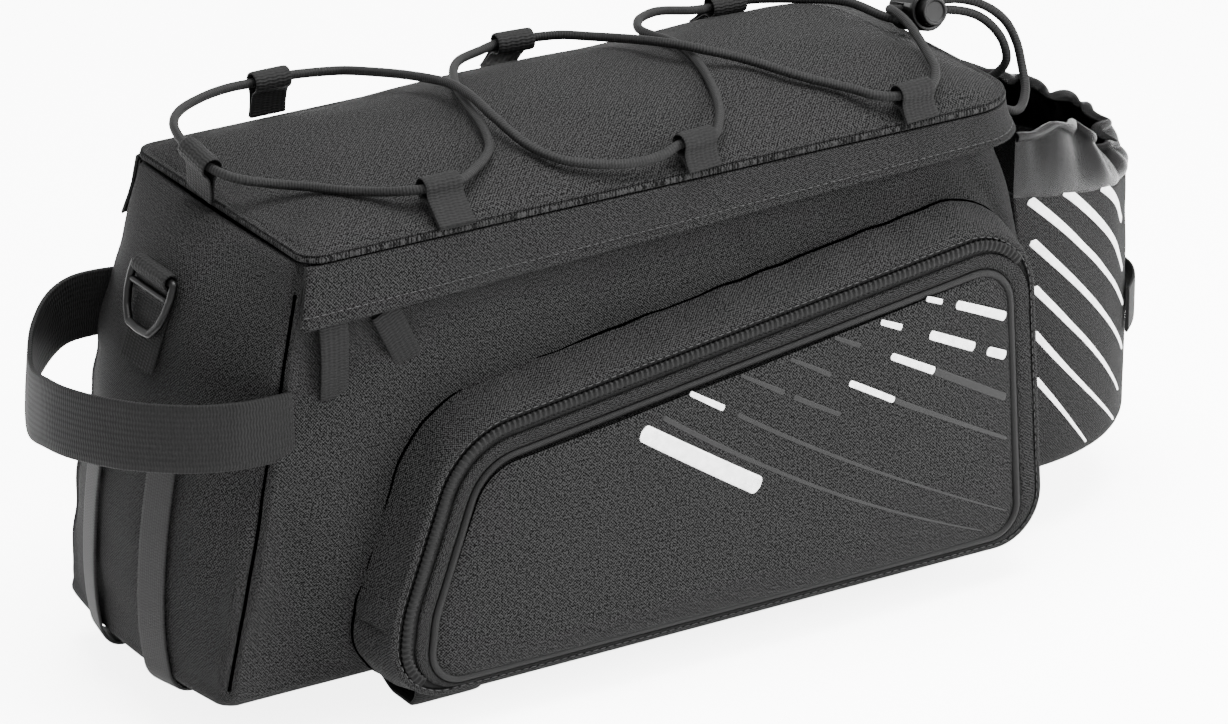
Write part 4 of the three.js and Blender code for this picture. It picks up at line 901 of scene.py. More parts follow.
def make_side_pockets():
    """Each pocket from outside in: a gusset from the body to the front edge, its foot marked by a dark tube
    painted as the shadow in its seam, a zip with its coil, a strip of cloth, piping and the panel."""
    wall = GUSSET_WALL
    rows = np.linspace(0, 1, 22)[:, None, None]
    front = pocket_outline(GUSSET_OUT + wall, RIGHT_OUT + wall + FIT, BOTTOM_OUT + wall + FIT)
    back = pocket_outline(GUSSET_OUT + GUSSET_FLARE + wall, RIGHT_OUT + wall + GUSSET_FLARE / 2,
                          STRIP_OUT + wall)
    edge = back[None] + (front - back)[None] * rows
    base = side_face(edge[..., 1]) + FIT
    depth = base + (POCKET_FRONT - base) * rows[..., 0]
    puff = 1.5 * np.sin(np.pi * rows[..., 0]) * np.clip((edge[..., 1] - 20) / 40, 0, 1)
    outer = np.stack([edge[..., 0], -depth, edge[..., 1] + puff], -1)
    out = normals(outer)
    out *= np.sign((out * (outer - np.array([POCKET_CENTRE, -70, 50]))).sum(-1).mean())
    out_fade = np.sin(np.pi * rows)
    outer = outer + out * (out_fade * (0.8 * ripple(outer, 45, 31) + 0.35 * ripple(outer, 17, 32))[..., None])
    held = (rows[..., 0] < 0.04) | (rows[..., 0] > 0.93) | np.zeros(outer.shape[:2], bool)
    outer = outer + filled_out(outer, held, 0.06, 1.5, 2.5, (1, 2)) * np.sin(np.pi * rows)
    turn = np.linspace(0, np.pi / 2, 5)[1:, None, None]
    inner_edge = pocket_outline(GUSSET_OUT - 0.4, RIGHT_OUT + 0.3, BOTTOM_OUT + 0.3)
    lip = np.stack([front[None, :, 0] + (inner_edge - front)[None, :, 0] * (1 - np.cos(turn[..., 0])),
                    -(POCKET_FRONT + 0.9 * np.sin(turn[..., 0]) + 0 * front[None, :, 0]),
                    front[None, :, 1] + (inner_edge - front)[None, :, 1] * (1 - np.cos(turn[..., 0]))], -1)
    inside = np.stack([pocket_ring(inner_edge, POCKET_FRONT - depth) for depth in (1.5, 14)])
    tuck = outer[:1] * (1, 0, 1) + (0, -(side_face(30) - 2.0), 0)
    gusset = np.concatenate([inside[::-1], lip[::-1], outer[::-1], tuck])
    add_both("gusset", [gusset], CANVAS, "pocket_gusset")
    shoulder = pocket_outline(GUSSET_OUT + wall - 2.4, RIGHT_OUT, BOTTOM_OUT)
    seam_line = pocket_ring(shoulder, POCKET_FRONT + 0.95)
    add_both("gusset_stitching", stitches(seam_line, TOWARDS_VIEWER, radius=0.2), THREAD)
    # A dark tube painted as the shadow in the seam where the gusset's foot meets the body
    foot = resample(outer[3] * (1, 1.004, 1), 420)
    add_both("gusset_seam_shadow", [tube(foot, GUSSET_SHADOW_RADIUS, 8, closed=True)], SEAM_SHADOW_PAINT)
    make_pocket_zip()
    make_pocket_strip()
    make_pocket_panel()


# Where on the pocket's outline its zip runs, the coil's pitch and the step between its sections
ZIP_RUN = slice(6, 134)
TOOTH_PITCH, COIL_STEP = 2.1, 0.42


def make_pocket_zip():
    """The zip's tape and its coil. The coil is a tube that swells and slopes with each turn."""
    outer = pocket_outline(GUSSET_OUT - 0.2, RIGHT_OUT, BOTTOM_OUT)
    inner = pocket_outline(ZIP_OUT - 0.3, RIGHT_OUT - 0.2, STRIP_OUT + 0.8)
    depth = POCKET_FRONT - 0.6
    share = np.linspace(0, 1, 9)[:, None]
    tape = np.stack([pocket_ring(outer + (inner - outer) * s, depth + 0.4 * math.sin(math.pi * s))
                     for s in share[:, 0]])
    back = tape[::-1] + (0, 1.2, 0)
    tape = np.concatenate([tape, back, tape[:1]])
    path = pocket_ring((outer * 0.5 + inner * 0.5), depth + 0.9)[ZIP_RUN]
    path = resample(path, int(along(path)[-1] / COIL_STEP))
    walked = along(path)
    across = np.cross(line_frames(path, TOWARDS_VIEWER)[0], TOWARDS_VIEWER)
    angle = np.linspace(0, 2 * np.pi, 11)
    tooth = 0.5 + 0.5 * np.cos(2 * np.pi * walked / TOOTH_PITCH)[:, None]
    wide = 2.6 * (0.78 + 0.22 * tooth) * np.cos(angle)
    groove = 1 - 0.45 * np.exp(-(np.cos(angle) / 0.22) ** 2) * (np.sin(angle) > 0)
    thick = 1.15 * (0.62 + 0.38 * tooth) * np.sin(angle) * groove
    coil = path[:, None] + across[:, None] * wide[..., None] + TOWARDS_VIEWER * thick[..., None]
    add_both("zip_tape", [tape], ZIP_TAPE, "pocket_zip")
    add_both("zip_coil", [capped(coil)], ZIP_COIL)


def make_pocket_strip():
    """The cloth strip between zip and piping: a low cushion with a turned edge, and the piping
    cord beside it."""
    inner = pocket_outline(STRIP_OUT - 0.3)
    outer = pocket_outline(STRIP_OUT + STRIP_WIDTH, RIGHT_OUT, BOTTOM_OUT)
    turn = np.linspace(0, np.pi, 13)
    strip = np.stack([pocket_ring(outer + (inner - outer) * (0.5 - 0.5 * math.cos(a)),
                                  POCKET_FRONT - 0.5 + 1.5 * math.sin(a) ** 0.6) for a in turn])
    strip = np.concatenate([strip, strip[::-1] * (1, 0, 1) + (0, -(POCKET_FRONT - 1.8), 0), strip[:1]])
    strip += TOWARDS_VIEWER * (0.12 * ripple(strip, 14, 41))[..., None]
    cord = resample(pocket_ring(pocket_outline(0), POCKET_FRONT + 0.2), 520)
    add_both("strip", [strip], CANVAS, "pocket_strip")
    add_both("piping", [tube(cord, PIPING, 10, closed=True)], PLAIN_CLOTH, "pocket_piping")


def make_pocket_panel():
    """The panel: rings from its edge to its middle, standing out as panel_depth says, with a back
    one wall behind."""
    edge = pocket_outline(-STRIP_OUT + 0.5)
    middle = np.array([POCKET_CENTRE, POCKET_BASE + POCKET_HEIGHT * 0.48])
    share = np.linspace(0, 1, 40)[:, None, None] ** 1.1
    spot = edge[None] + (middle - edge)[None] * share
    depth = panel_depth(spot[..., 0], spot[..., 1]) - 1.0 * np.exp(-share[..., 0] / 0.02)
    face = np.stack([spot[..., 0], -depth, spot[..., 1]], -1)
    behind = np.stack([spot[..., 0], -(POCKET_FRONT - 1.6) + 0 * depth, spot[..., 1]], -1)[::-1]
    uv = np.concatenate([spot, spot[::-1]]) / 1000
    panels = [(np.concatenate([face, behind]), uv)]
    for panel in add_both("panel", panels, CANVAS, "pocket_panel"):
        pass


# How far the printed films stand over their cloth, and how deep their backs lie in it
PANEL_PRINT_LIFT, SLEEVE_PRINT_LIFT, PRINT_ROOT = 0.12, 0.2, 0.4

# Printed stripes on a pocket's panel: start, middle and end as (x, z), width at start and end
FRONT_PRINT = [
    ("bar", (-17.6, 81.8), (7.4, 65.2), (31.9, 49.4), 6.4, 7.0, "silver"),
    ("dash_1a", (104.2, 104.9), (107.5, 103.6), (111.0, 102.2), 2.0, 2.0, "silver"),
    ("dash_1b", (117.0, 99.9), (128.0, 95.2), (139.4, 90.0), 3.2, 3.6, "silver"),
    ("dash_2a", (84.1, 100.5), (88.5, 98.6), (93.0, 96.6), 2.0, 2.4, "silver"),
    ("dash_2b", (105.0, 91.2), (115.0, 86.5), (125.2, 81.6), 3.4, 3.6, "silver"),
    ("dash_2c", (131.0, 78.8), (135.3, 76.8), (139.6, 74.8), 3.4, 3.6, "silver"),
    ("dash_3a", (64.0, 99.1), (69.5, 96.4), (75.0, 93.6), 1.4, 2.0, "faded"),
    ("dash_3b", (88.0, 86.9), (98.0, 81.6), (107.0, 76.8), 2.6, 3.0, "silver"),
    ("dash_3c", (107.0, 76.8), (123.0, 67.8), (140.0, 58.2), 3.0, 3.0, "faded"),
    ("dash_4a", (45.0, 95.2), (54.0, 90.2), (62.0, 85.4), 1.4, 2.0, "faded"),
    ("dash_4b", (70.0, 80.6), (80.0, 75.0), (89.0, 69.8), 2.4, 2.4, "silver"),
    ("dash_4c", (89.0, 69.8), (115.0, 55.6), (141.0, 41.6), 2.2, 1.4, "faded"),
    ("dash_5a", (24.0, 93.8), (33.0, 88.6), (42.0, 83.2), 1.2, 2.2, "faded"),
    ("dash_5b", (46.0, 80.8), (56.0, 75.0), (66.0, 69.4), 2.0, 1.6, "faded"),
    ("dash_6a", (3.1, 91.6), (10.0, 87.2), (17.0, 82.8), 1.8, 2.4, "silver"),
    ("dash_6b", (22.0, 79.6), (75.0, 47.4), (142.0, 12.4), 1.8, 0.6, "faded"),
    ("dash_7", (-9.3, 85.7), (60.0, 41.4), (131.0, 7.2), 2.0, 0.6, "faded"),
]

# Printed stripes on the bottle pocket: start, middle and end as (degrees round it, z), widths
BOTTLE_PRINT = [
    ((-55.2, 113.5), (-46.4, 104.0), (-36.2, 91.5), 3.6, 2.8),
    ((-72.8, 119.0), (-55.0, 97.5), (-36.8, 71.5), 3.6, 2.0),
    ((-85.0, 119.5), (-66.5, 95.0), (-37.3, 57.6), 3.4, 1.7),
    ((-85.3, 103.0), (-65.0, 74.5), (-38.0, 39.9), 3.1, 1.5),
    ((-85.5, 84.5), (-66.8, 57.0), (-42.0, 24.8), 2.8, 1.2),
    ((-86.3, 66.5), (-69.0, 40.0), (-47.0, 15.0), 2.5, 1.1),
    ((-86.5, 47.5), (-76.6, 31.0), (-66.0, 14.0), 2.2, 0.9),
]


def print_grid(start, middle, end, wide_start, wide_end, steps=60):
    """A stripe's grid on a flat cloth: a parabola through three points, as wide as a straight
    share between its two widths, with round ends."""
    t = np.linspace(0, 1, steps)[:, None]
    start, middle, end = (np.array(v, float) for v in (start, middle, end))
    pull = 2 * middle - (start + end) / 2
    line = start * (1 - t) ** 2 + 2 * pull * t * (1 - t) + end * t ** 2
    return line, (wide_start + (wide_end - wide_start) * t) / 2


def stripe_spots(line, half, metric=(1.0, 1.0)):
    """Points over a stripe: across its line at both sides of each step, drawn in at its ends."""
    metric = np.array(metric)
    flat = line * metric
    ahead = unit(np.gradient(flat, axis=0))
    side = np.stack([-ahead[:, 1], ahead[:, 0]], 1)
    walked = along(flat)
    end_gap = np.minimum(walked, walked[-1] - walked)[:, None]
    taper = np.sqrt(np.clip(1 - (1 - np.clip(end_gap / (half * 0.6), 0, 1)) ** 2, 0.001, 1))
    across = np.linspace(-1, 1, 7)[None, :, None]
    return (flat[:, None] + side[:, None] * (half * taper)[:, None] * across) / metric


def film(place, spots, lift):
    """A thin film over a cloth: its top lift above it and its back a little below it."""
    top, low = place(spots, lift), place(spots, -PRINT_ROOT)
    ring = np.concatenate([top, low[:, ::-1], top[:, :1]], 1)
    return capped(ring)


def make_front_print():
    """The stripes printed on each side pocket's panel, as thin films that follow its dome."""

    def on_panel(spots, lift):
        """Points of the panel, lifted towards the viewer."""
        x, z = spots[..., 0], spots[..., 1]
        return np.stack([x, -(panel_depth(x, z) + lift), z], -1)

    for ink, material in (("silver", SILVER_PRINT), ("faded", FADED_PRINT)):
        grids = []
        for _, start, middle, end, wide, narrow, kind in FRONT_PRINT:
            if kind == ink:
                line, half = print_grid(start, middle, end, wide, narrow, 90)
                grids.append(film(on_panel, stripe_spots(line, half), PANEL_PRINT_LIFT))
        add_both(f"{ink}_stripes", grids, material)


def bottle_surface(degrees, z, inset=0.0):
    """A point of the bottle pocket: half an ellipse from the body's end round the front, sagging
    a little, with gathers that fade downwards and a few slanting creases."""
    angle = np.radians(degrees)
    share = np.clip((z - BOTTLE_BASE) / 110, 0, 1)
    half = BOTTLE_HALF - inset
    back = right_face(half + 0 * z, z) + 2 * FIT + inset
    round_in = 5 * (1 - np.sqrt(np.clip(1 - (1 - np.clip((z - BOTTLE_BASE) / 6, 0, 1)) ** 2, 0, 1)))
    reach = BOTTLE_FRONT - inset - round_in - back
    sag = 0.8 * np.sin(np.pi * share) - 0.6 * share ** 3
    wide = np.abs(np.cos(angle)) ** 0.25
    pleat = 0.9 * share ** 4 * np.sin(angle * 19 + 2 * np.sin(3 * angle))
    spot = np.stack([np.sin(angle) * 55, np.cos(angle) * 55, z + 12 * angle], -1)
    fold = (1.0 * ripple(spot * (1, 1, 0.45), 42, 51) + 0.45 * ripple(spot, 17, 52)) * (0.35 + 0.65 * share)
    move = (sag + pleat + fold) * wide * np.clip(np.cos(angle) * 5, 0, 1) * (1 if inset == 0 else 0.6)
    return np.stack([back + (reach + move) * np.cos(angle),
                     (half - round_in + move * 0.4) * np.sin(angle), z + 0 * angle], -1)


def bottle_rim(degrees):
    """The pocket's rim: high at the body, lower at the front by the cosine of the angle."""
    return BOTTLE_RIM_BACK + (BOTTLE_RIM_FRONT - BOTTLE_RIM_BACK) * np.cos(np.radians(degrees))


def make_bottle_pocket():
    """The pocket's outside from its bottom up, over its rim and down inside, closed along the
    body's end by a flat back."""
    degrees = np.linspace(-90, 90, 150)[None]
    rise = np.concatenate([6 * np.linspace(0, 1, 7)[:-1] ** 2, np.linspace(6, 100, 60)])[:, None] / 100
    top = bottle_rim(degrees)
    z = BOTTLE_BASE + (top - BOTTLE_BASE) * rise
    outside = bottle_surface(degrees + 0 * z, z)
    z_in = BOTTLE_BASE + 2 + (top - BOTTLE_BASE - 2) * np.linspace(1, 0, 20)[:, None]
    inside = bottle_surface(degrees + 0 * z_in, z_in, 2.0)

    def with_back(grid):
        """Each ring closed by a straight run over the body's end, never inside the body."""
        share = np.linspace(0, 1, 12)[None, 1:, None]
        back = grid[:, -1:] + (grid[:, :1] - grid[:, -1:]) * share
        back[..., 0] = np.maximum(back[..., 0], right_face(back[..., 1], back[..., 2]) + 2 * FIT)
        return np.concatenate([grid, back], 1)

    rings = [with_back(outside), with_back(inside)]
    middle = np.array([BOTTLE_FLOOR_MIDDLE, 0, 0])

    def toward(ring, share):
        """A ring drawn in towards the pocket's middle at its own height."""
        return ring + (middle * (1, 1, 0) + ring * (0, 0, 1) - ring) * share

    base = np.stack([toward(rings[0][0], s) for s in (1, 0.7, 0.4, 0.15)])
    floor = np.stack([toward(rings[1][-1], s) for s in (0.15, 0.5, 1)])
    add_piece("bottle_sleeve", [np.concatenate([base, rings[0], rings[1], floor])], CANVAS, ["bottle_pocket"])

    def on_sleeve(spots, lift):
        """Points of the pocket at (degrees, z), lifted outwards."""
        point = bottle_surface(spots[..., 0], spots[..., 1])
        out = unit(np.stack([np.cos(np.radians(spots[..., 0])), np.sin(np.radians(spots[..., 0])),
                             0 * spots[..., 0]], -1) * (1 / 72, 1 / 54, 1))
        return point + out * lift

    grids = []
    for start, mid, end, wide, narrow in BOTTLE_PRINT:
        line, half = print_grid(start, mid, end, wide, narrow, 80)
        spots = stripe_spots(line, half, (1.05, 1.0))
        grids += [film(on_sleeve, spots * (side, 1), SLEEVE_PRINT_LIFT) for side in (1, -1)]
    add_piece("sleeve_stripes", grids, SILVER_PRINT)


def make_collar():
    """The gathered collar: it rises from the pocket's rim, leans in and puckers into folds that
    deepen upwards, and ends in a thick rolled hem."""
    degrees = np.linspace(-90, 90, 260)
    angle = np.radians(degrees)
    rise = smooth(COLLAR_RISE, degrees) * COLLAR_HEIGHT
    lean = smooth(COLLAR_LEAN, degrees) * COLLAR_HEIGHT
    start = bottle_surface(degrees, bottle_rim(degrees))
    inward = unit((np.array([COLLAR_MIDDLE, 0, 0]) - start) * (1, 1, 0))
    fold = (np.sin(angle * 17 + 1.6 * np.sin(angle * 5)) + 0.5 * np.sin(angle * 31 + 2.0))
    ends = np.clip(np.cos(angle) * 4, 0, 1)

    def ring(share, inset):
        """The collar's ring at a share of its height: leaning and folding in more as it rises."""
        deep = 2.8 * share ** 1.1 * fold * ends
        puff = -2.2 * np.sin(np.pi * share) * ends
        point = start + inward * (lean * share ** 1.4 + deep + puff + inset)[:, None]
        point[:, 2] += share * rise + 0.8 * share * np.sin(angle * 23) * ends
        point[:, 0] = np.maximum(point[:, 0], right_face(point[:, 1], point[:, 2]) + 2 * FIT + max(inset, 0))
        return point

    outer = np.stack([ring(s, 0.0) for s in np.linspace(0, 1, 22)])
    inner = np.stack([ring(s, COLLAR_CLOTH) for s in np.linspace(1, 0, 22)])
    closed = np.concatenate([outer, inner, outer[:1]]).transpose(1, 0, 2)
    add_piece("gathered_collar", [capped(closed)], COATED, ["bottle_collar"])
    hem = ring(1.0, COLLAR_CLOTH / 2)
    thick = 1.9 + 0.5 * np.sin(angle * 26) * ends
    add_piece("collar_hem", [tube(hem, thick, 12)], COATED)


def make_light_strap():
    """The strap for a lamp: a band round the bottle pocket's front, standing off between its ends."""
    degrees = np.linspace(-36, 36, 70)
    lift = 0.9 + 2.4 * np.sin(np.pi * (degrees + 36) / 72)
    z = np.full(70, LIGHT_STRAP_HEIGHT)
    line = bottle_surface(degrees, z)
    out = unit(np.stack([np.cos(np.radians(degrees)) / 72, np.sin(np.radians(degrees)) / 54, 0 * degrees], 1))
    line = resample(line + out * (lift + 0.6)[:, None], 70)
    add_webbing("lamp_strap", line, (0, 0, 1), LIGHT_STRAP_WIDTH, WEBBING, "light_strap")


def make_handle():
    """The handle: a wide band on half an ellipse round the left end, twisting and rising a little
    on its way, lying flat on the sides at both roots."""
    at = np.linspace(-1, 1, 160)
    angle = at * np.pi / 2
    root = left_face(BODY_WIDTH / 2, HANDLE_HEIGHT) + CORNER
    half = side_face(HANDLE_HEIGHT) + FIT + HANDLE_THICKNESS / 2
    line = np.stack([root - CORNER * np.minimum(1, np.cos(angle) * 4) - HANDLE_REACH * np.cos(angle),
                     half * np.sin(angle), HANDLE_HEIGHT + HANDLE_REACH * smooth(HANDLE_RISE, at)], 1)
    line = resample(line, 160)
    across = np.stack([0.1 * np.cos(angle), 0 * angle, np.ones(160)], 1)
    add_webbing("handle_webbing", line, across, HANDLE_WIDTH, HANDLE_THICKNESS, "handle_strap",
                waviness=0.3, seed=61)


def make_end_strips():
    """Two flat strips down the left end, turned under the bottom."""
    for name, y in (("near", -END_STRIP_SPACING / 2), ("far", END_STRIP_SPACING / 2)):
        bow = 2 * SWELL_LEFT * y / (BODY_WIDTH / 2) ** 2
        lift = 2 * FIT + WEBBING / 2 + SWELL_LEFT * (END_STRIP_WIDTH / BODY_WIDTH) ** 2
        z = np.linspace(END_STRIP_TOP, END_STRIP_TOP * 0.1, 12)
        down = np.stack([left_face(y, z) - lift, 0 * z + y, z], 1)
        corner = left_face(y, BOTTOM_ROUND)
        turn = [(corner - lift + 0.8, y, BOTTOM_ROUND * 0.5), (corner + BOTTOM_ROUND * 0.5, y, -lift),
                (corner + 22, y, -lift)]
        line = curve(np.vstack([down, turn]), 70)
        strip = band(line, unit(np.array([bow, 1.0, 0])), END_STRIP_WIDTH, WEBBING)
        add_piece(f"end_strip_{name}_webbing", [strip], GREY_WEBBING,
                  [f"end_strip_{name}"])


def make_ring_tab():
    """The ring's tab, a band folded round the ring's bar, and the ring: a bent rod with a middle
    bar. Both lie in a plane that leans with the body's end."""
    foot = np.array([left_face(0.0, TAB_TOP - TAB_HEIGHT), 0, TAB_TOP - TAB_HEIGHT])
    head = np.array([left_face(0.0, TAB_TOP), 0, TAB_TOP])
    up = unit(head - foot)
    out = np.array([-up[2], 0, up[0]])
    origin = head + out * (FIT + 1.5)

    def at(points):
        """Points given as (outwards, up the tab, across) in the tab's plane."""
        points = np.array(points, float)
        return origin + points[:, :1] * out + points[:, 1:2] * up + points[:, 2:3] * np.array([0, 1.0, 0])

    hole = RING_WIRE / 2 + RING_FIT
    tube_out = hole + WEBBING
    bar = (WEBBING + hole + 0.1, -(tube_out + 1))
    mid = hole + WEBBING / 2
    angle = np.radians(np.linspace(-70, 180, 14))
    loop = [(bar[0] + mid * math.cos(a), bar[1] + mid * math.sin(a), 0) for a in angle]
    front = [(WEBBING * 1.75, bar[1] - tube_out - 6, 0), (WEBBING * 1.75, bar[1] - tube_out - 1.0, 0)]
    back = [(WEBBING / 2, bar[1] - 3, 0), (WEBBING / 2, bar[1] - 10, 0), (WEBBING / 2, -TAB_HEIGHT, 0)]
    line = curve(at(front + loop + back), 110)
    add_webbing("ring_tab_webbing", line, (0, 1, 0), TAB_WIDTH, WEBBING, "ring_tab")
    half = TAB_WIDTH / 2 + hole
    outline = [(-half, 0), (half, 0), (half + 0.4, -0.25), (half - 0.3, -0.5), (half - 2.4, -0.75),
               (half - 6.4, -0.97), (0, -1), (-half + 6.4, -0.97), (-half + 2.4, -0.75), (-half + 0.3, -0.5),
               (-half - 0.4, -0.25)]
    hoop = at([(bar[0], bar[1] + z * RING_LENGTH, y) for y, z in outline])
    hoop = resample(np.vstack([hoop, hoop[:1]]), 360)
    for _ in range(10):
        hoop[:-1] = (np.roll(hoop[:-1], 1, 0) + 2 * hoop[:-1] + np.roll(hoop[:-1], -1, 0)) / 4
    hoop[-1] = hoop[0]
    middle = at([(bar[0], bar[1] - 0.31 * RING_LENGTH, y) for y in np.linspace(-half, half, 12)])
    rods = [tube(hoop, RING_WIRE / 2, 16, closed=True), tube(middle, RING_WIRE * 0.4, 12)]
    add_piece("strap_ring", rods, PLASTIC, ["d_ring"], body="ring")


# The cord's loops: share of the body's length along, side, how far in and up the eye lies as
# shares of a loop's height, and how far the loop turns with the cord
SIDE_LOOPS = {
    "near_1": (-0.2282, -1, 0.741, 0.635, 0.0), "near_2": (0.064, -1, 0.329, 0.547, 0.12),
    "near_3": (0.3314, -1, 0.341, 0.535, 0.1), "far_1": (-0.2392, 1, 0.135, 0.812, 0.0),
    "far_2": (0.0407, 1, 0.782, 0.782, -0.1), "far_3": (0.3023, 1, 0.794, 0.588, 0.0),
}
SEAM_OUT, SEAM_UP = LOOP_WEBBING + 0.4, 0.7


def loop_places():
    """Each cord loop's foot on the lid's seam, its eye, the direction the cord takes through it
    and its width."""
    places = {}
    for name, (share, side, inward, up, yaw) in SIDE_LOOPS.items():
        foot = np.array([share * BODY_LENGTH, side * (LID_HALF + SEAM_OUT), BODY_HEIGHT + SEAM_UP])
        eye = foot + np.array([0, -side * inward * LOOP_HEIGHT, up * LOOP_HEIGHT])
        places[name] = (foot, eye, unit(np.array([1, yaw, 0.0])), LOOP_WIDTH)
    foot = np.array([LID_LEFT - SEAM_OUT, END_LOOP_WIDTH / 2, BODY_HEIGHT + SEAM_UP])
    places["left"] = (foot, foot + (-1, 0, 0.84 * LOOP_HEIGHT), unit(np.array([0, 1, 0.145])), END_LOOP_WIDTH)
    foot = np.array([LID_RIGHT + SEAM_OUT, -LOOP_WIDTH * 0.7, BODY_HEIGHT - 2])
    eye = foot + (0.47 * LOOP_HEIGHT, 0, -0.68 * LOOP_HEIGHT)
    places["right"] = (foot, eye, np.array([0, 1.0, 0]), LOOP_WIDTH)
    return places


def make_cord_loops(places):
    """Each loop is a band that rises from the seam, turns round the cord and comes back beside
    itself: two straight runs joined by most of a circle about the eye."""
    for name, (foot, eye, across, width) in places.items():
        up = eye - foot
        up -= across * (up @ across)
        length = np.linalg.norm(up)
        up /= length
        out = np.cross(across, up)
        round_eye = EYE_RADIUS + LOOP_WEBBING / 2
        angle = np.radians(np.linspace(-148, 148, 25))
        near = LOOP_WEBBING / 2 + 0.05
        flat = [(0, -near), (0.5 * (length - round_eye), -near)]
        flat += [(length + round_eye * math.cos(a), round_eye * math.sin(a)) for a in angle]
        flat += [(0.5 * (length - round_eye), near), (0, near)]
        line = curve(np.array([foot + up * a + out * b for a, b in flat]), 90)
        add_webbing(f"loop_{name}", line, across, width, LOOP_WEBBING, f"cord_loop_{name}", edge=0.6)


# The cord's closed lacing: a loop's name and which way the cord goes through it, or a free point
# as shares of half the body's length, half its width and the lid's crown
CORD_ROUTE = [
    ("lock_upper", -1),
    (0.841, 0.041, 1.006), (0.824, -0.079, 1.119), (0.815, -0.222, 1.106), (0.774, -0.625, 0.869),
    (0.749, -0.802, 0.756),
    ("near_3", -1),
    (0.578, -0.881, 0.631), (0.553, -0.762, 0.681), (0.469, -0.559, 0.919), (0.381, -0.265, 1.194),
    (0.326, -0.156, 1.344), (0.288, -0.016, 1.381), (0.204, 0.57, 1.019), (0.169, 0.714, 0.944),
    ("far_2", -1),
    (-0.009, 0.778, 0.881), (-0.103, 0.617, 1), (-0.175, 0.325, 1.094), (-0.226, -0.06, 1.094),
    (-0.259, -0.405, 0.95), (-0.281, -0.549, 0.838), (-0.369, -0.759, 0.738),
    ("near_1", -1),
    (-0.598, -0.563, 0.55), (-0.666, -0.327, 0.506), (-0.709, -0.232, 0.525), (-0.794, -0.127, 0.744),
    ("left", 1),
    (-0.802, 0.476, 1.131), (-0.775, 0.603, 1.15), (-0.672, 0.835, 1.062), (-0.564, 0.968, 0.944),
    ("far_1", 1),
    (-0.372, 0.971, 0.869), (-0.319, 0.914, 0.869), (-0.287, 0.773, 0.956), (-0.237, 0.338, 1.244),
    (-0.226, 0.094, 1.369), (-0.227, -0.117, 1.356), (-0.226, -0.348, 1.181), (-0.199, -0.659, 0.781),
    (-0.167, -0.798, 0.644), (-0.12, -0.871, 0.537), (-0.012, -0.957, 0.456), (0.044, -0.962, 0.519),
    ("near_2", 1),
    (0.21, -0.817, 0.769), (0.268, -0.506, 0.963), (0.315, -0.046, 1.144), (0.322, 0.129, 1.144),
    (0.308, 0.467, 1.113), (0.326, 0.562, 1.106), (0.368, 0.676, 1.031), (0.419, 0.751, 0.95),
    (0.517, 0.778, 0.744),
    ("far_3", 1),
    (0.751, 0.587, 0.769), (0.811, 0.397, 0.819),
    ("lock_lower", 1),
    (1.058, 0.006, 0.444), (1.094, -0.025, 0.106), (1.115, -0.048, -0.281), (1.123, -0.048, -0.75),
    (1.106, 0.024, -1.181), (1.07, 0.089, -1.369), (1.029, 0.111, -1.219), (0.998, 0.048, -0.931),
    ("right", -1),
    (0.998, -0.362, -0.969), (1.035, -0.397, -1.306), (1.087, -0.333, -1.494), (1.133, -0.213, -1.269),
    (1.148, -0.111, -0.806), (1.143, -0.07, -0.281), (1.12, -0.038, 0.244), (1.072, 0.003, 0.675),
    (1.021, 0.06, 0.856),
]

# The lock: its middle, how far its button end dips, and its sizes
LOCK_PLACE = np.array([0.458 * BODY_LENGTH, 4.0, BODY_HEIGHT + 0.794 * LID_CROWN])
LOCK_TILT = -0.26
LOCK_RADIUS, LOCK_LENGTH, LOCK_WALL = 7.5, 17.0, 1.4
BUTTON_RADIUS, BUTTON_OUT, BUTTON_STROKE = 5.3, 4.0, 3.0
SLOT_WIDTH, SLOT_HEIGHT = 4.4, 7.6
CORD_SPREAD, CAP_SHORTER = 0.13, 1.2


def in_lock(points):
    """Points of the lock's own frame, its axis along y, tilted about x and set in its place."""
    c, s = math.cos(LOCK_TILT), math.sin(LOCK_TILT)
    x, y, z = np.moveaxis(np.asarray(points, float), -1, 0)
    return np.stack([x, y * c - z * s, y * s + z * c], -1) + LOCK_PLACE


def make_cord(places):
    """The elastic cord: one closed round tube through every loop and twice through the lock."""
    passes = dict(places)
    for name, up in (("lock_upper", CORD_RADIUS + CORD_SPREAD), ("lock_lower", -CORD_RADIUS - CORD_SPREAD)):
        passes[name] = (None, in_lock([1.2, 0, up]), np.array([1.0, 0, 0]), 2 * LOCK_RADIUS + 2.4)
    line = []
    for step in CORD_ROUTE:
        if isinstance(step[0], str):
            _, eye, across, width = passes[step[0]]
            line += [eye + across * end * step[1] * (width / 2 + 1) for end in (-1, 1)]
        else:
            line.append(np.array([step[0] * BODY_LENGTH / 2, step[1] * BODY_WIDTH / 2,
                                  BODY_HEIGHT + step[2] * LID_CROWN]))
    line = curve(line, 1700, closed=True)
    add_piece("laced_cord", [tube(line, CORD_RADIUS, 14, closed=True)], CORD_BRAID, ["elastic_cord"])


def lathe(profile, sides=64):
    """A profile of (radius, place along the axis) turned round the lock's axis."""
    angle = np.linspace(0, 2 * np.pi, sides + 1)[None]
    radius, place = (np.array(column)[:, None] for column in zip(*profile))
    return in_lock(np.stack([radius * np.sin(angle), place + 0 * angle, radius * np.cos(angle)], -1))


def rounded(corners, radius, steps=5):
    """A profile whose inner corners are replaced by short arcs."""
    p = np.array(corners, float)
    line = [p[0]]
    for a, b, c in zip(p[:-2], p[1:-1], p[2:]):
        back = min(radius, np.linalg.norm(a - b) / 2, np.linalg.norm(c - b) / 2)
        start, end = b + unit(a - b) * back, b + unit(c - b) * back
        t = np.linspace(0, 1, steps)[:, None]
        line += list(start * (1 - t) ** 2 + 2 * b * t * (1 - t) + end * t ** 2)
    return line + [p[-1]]


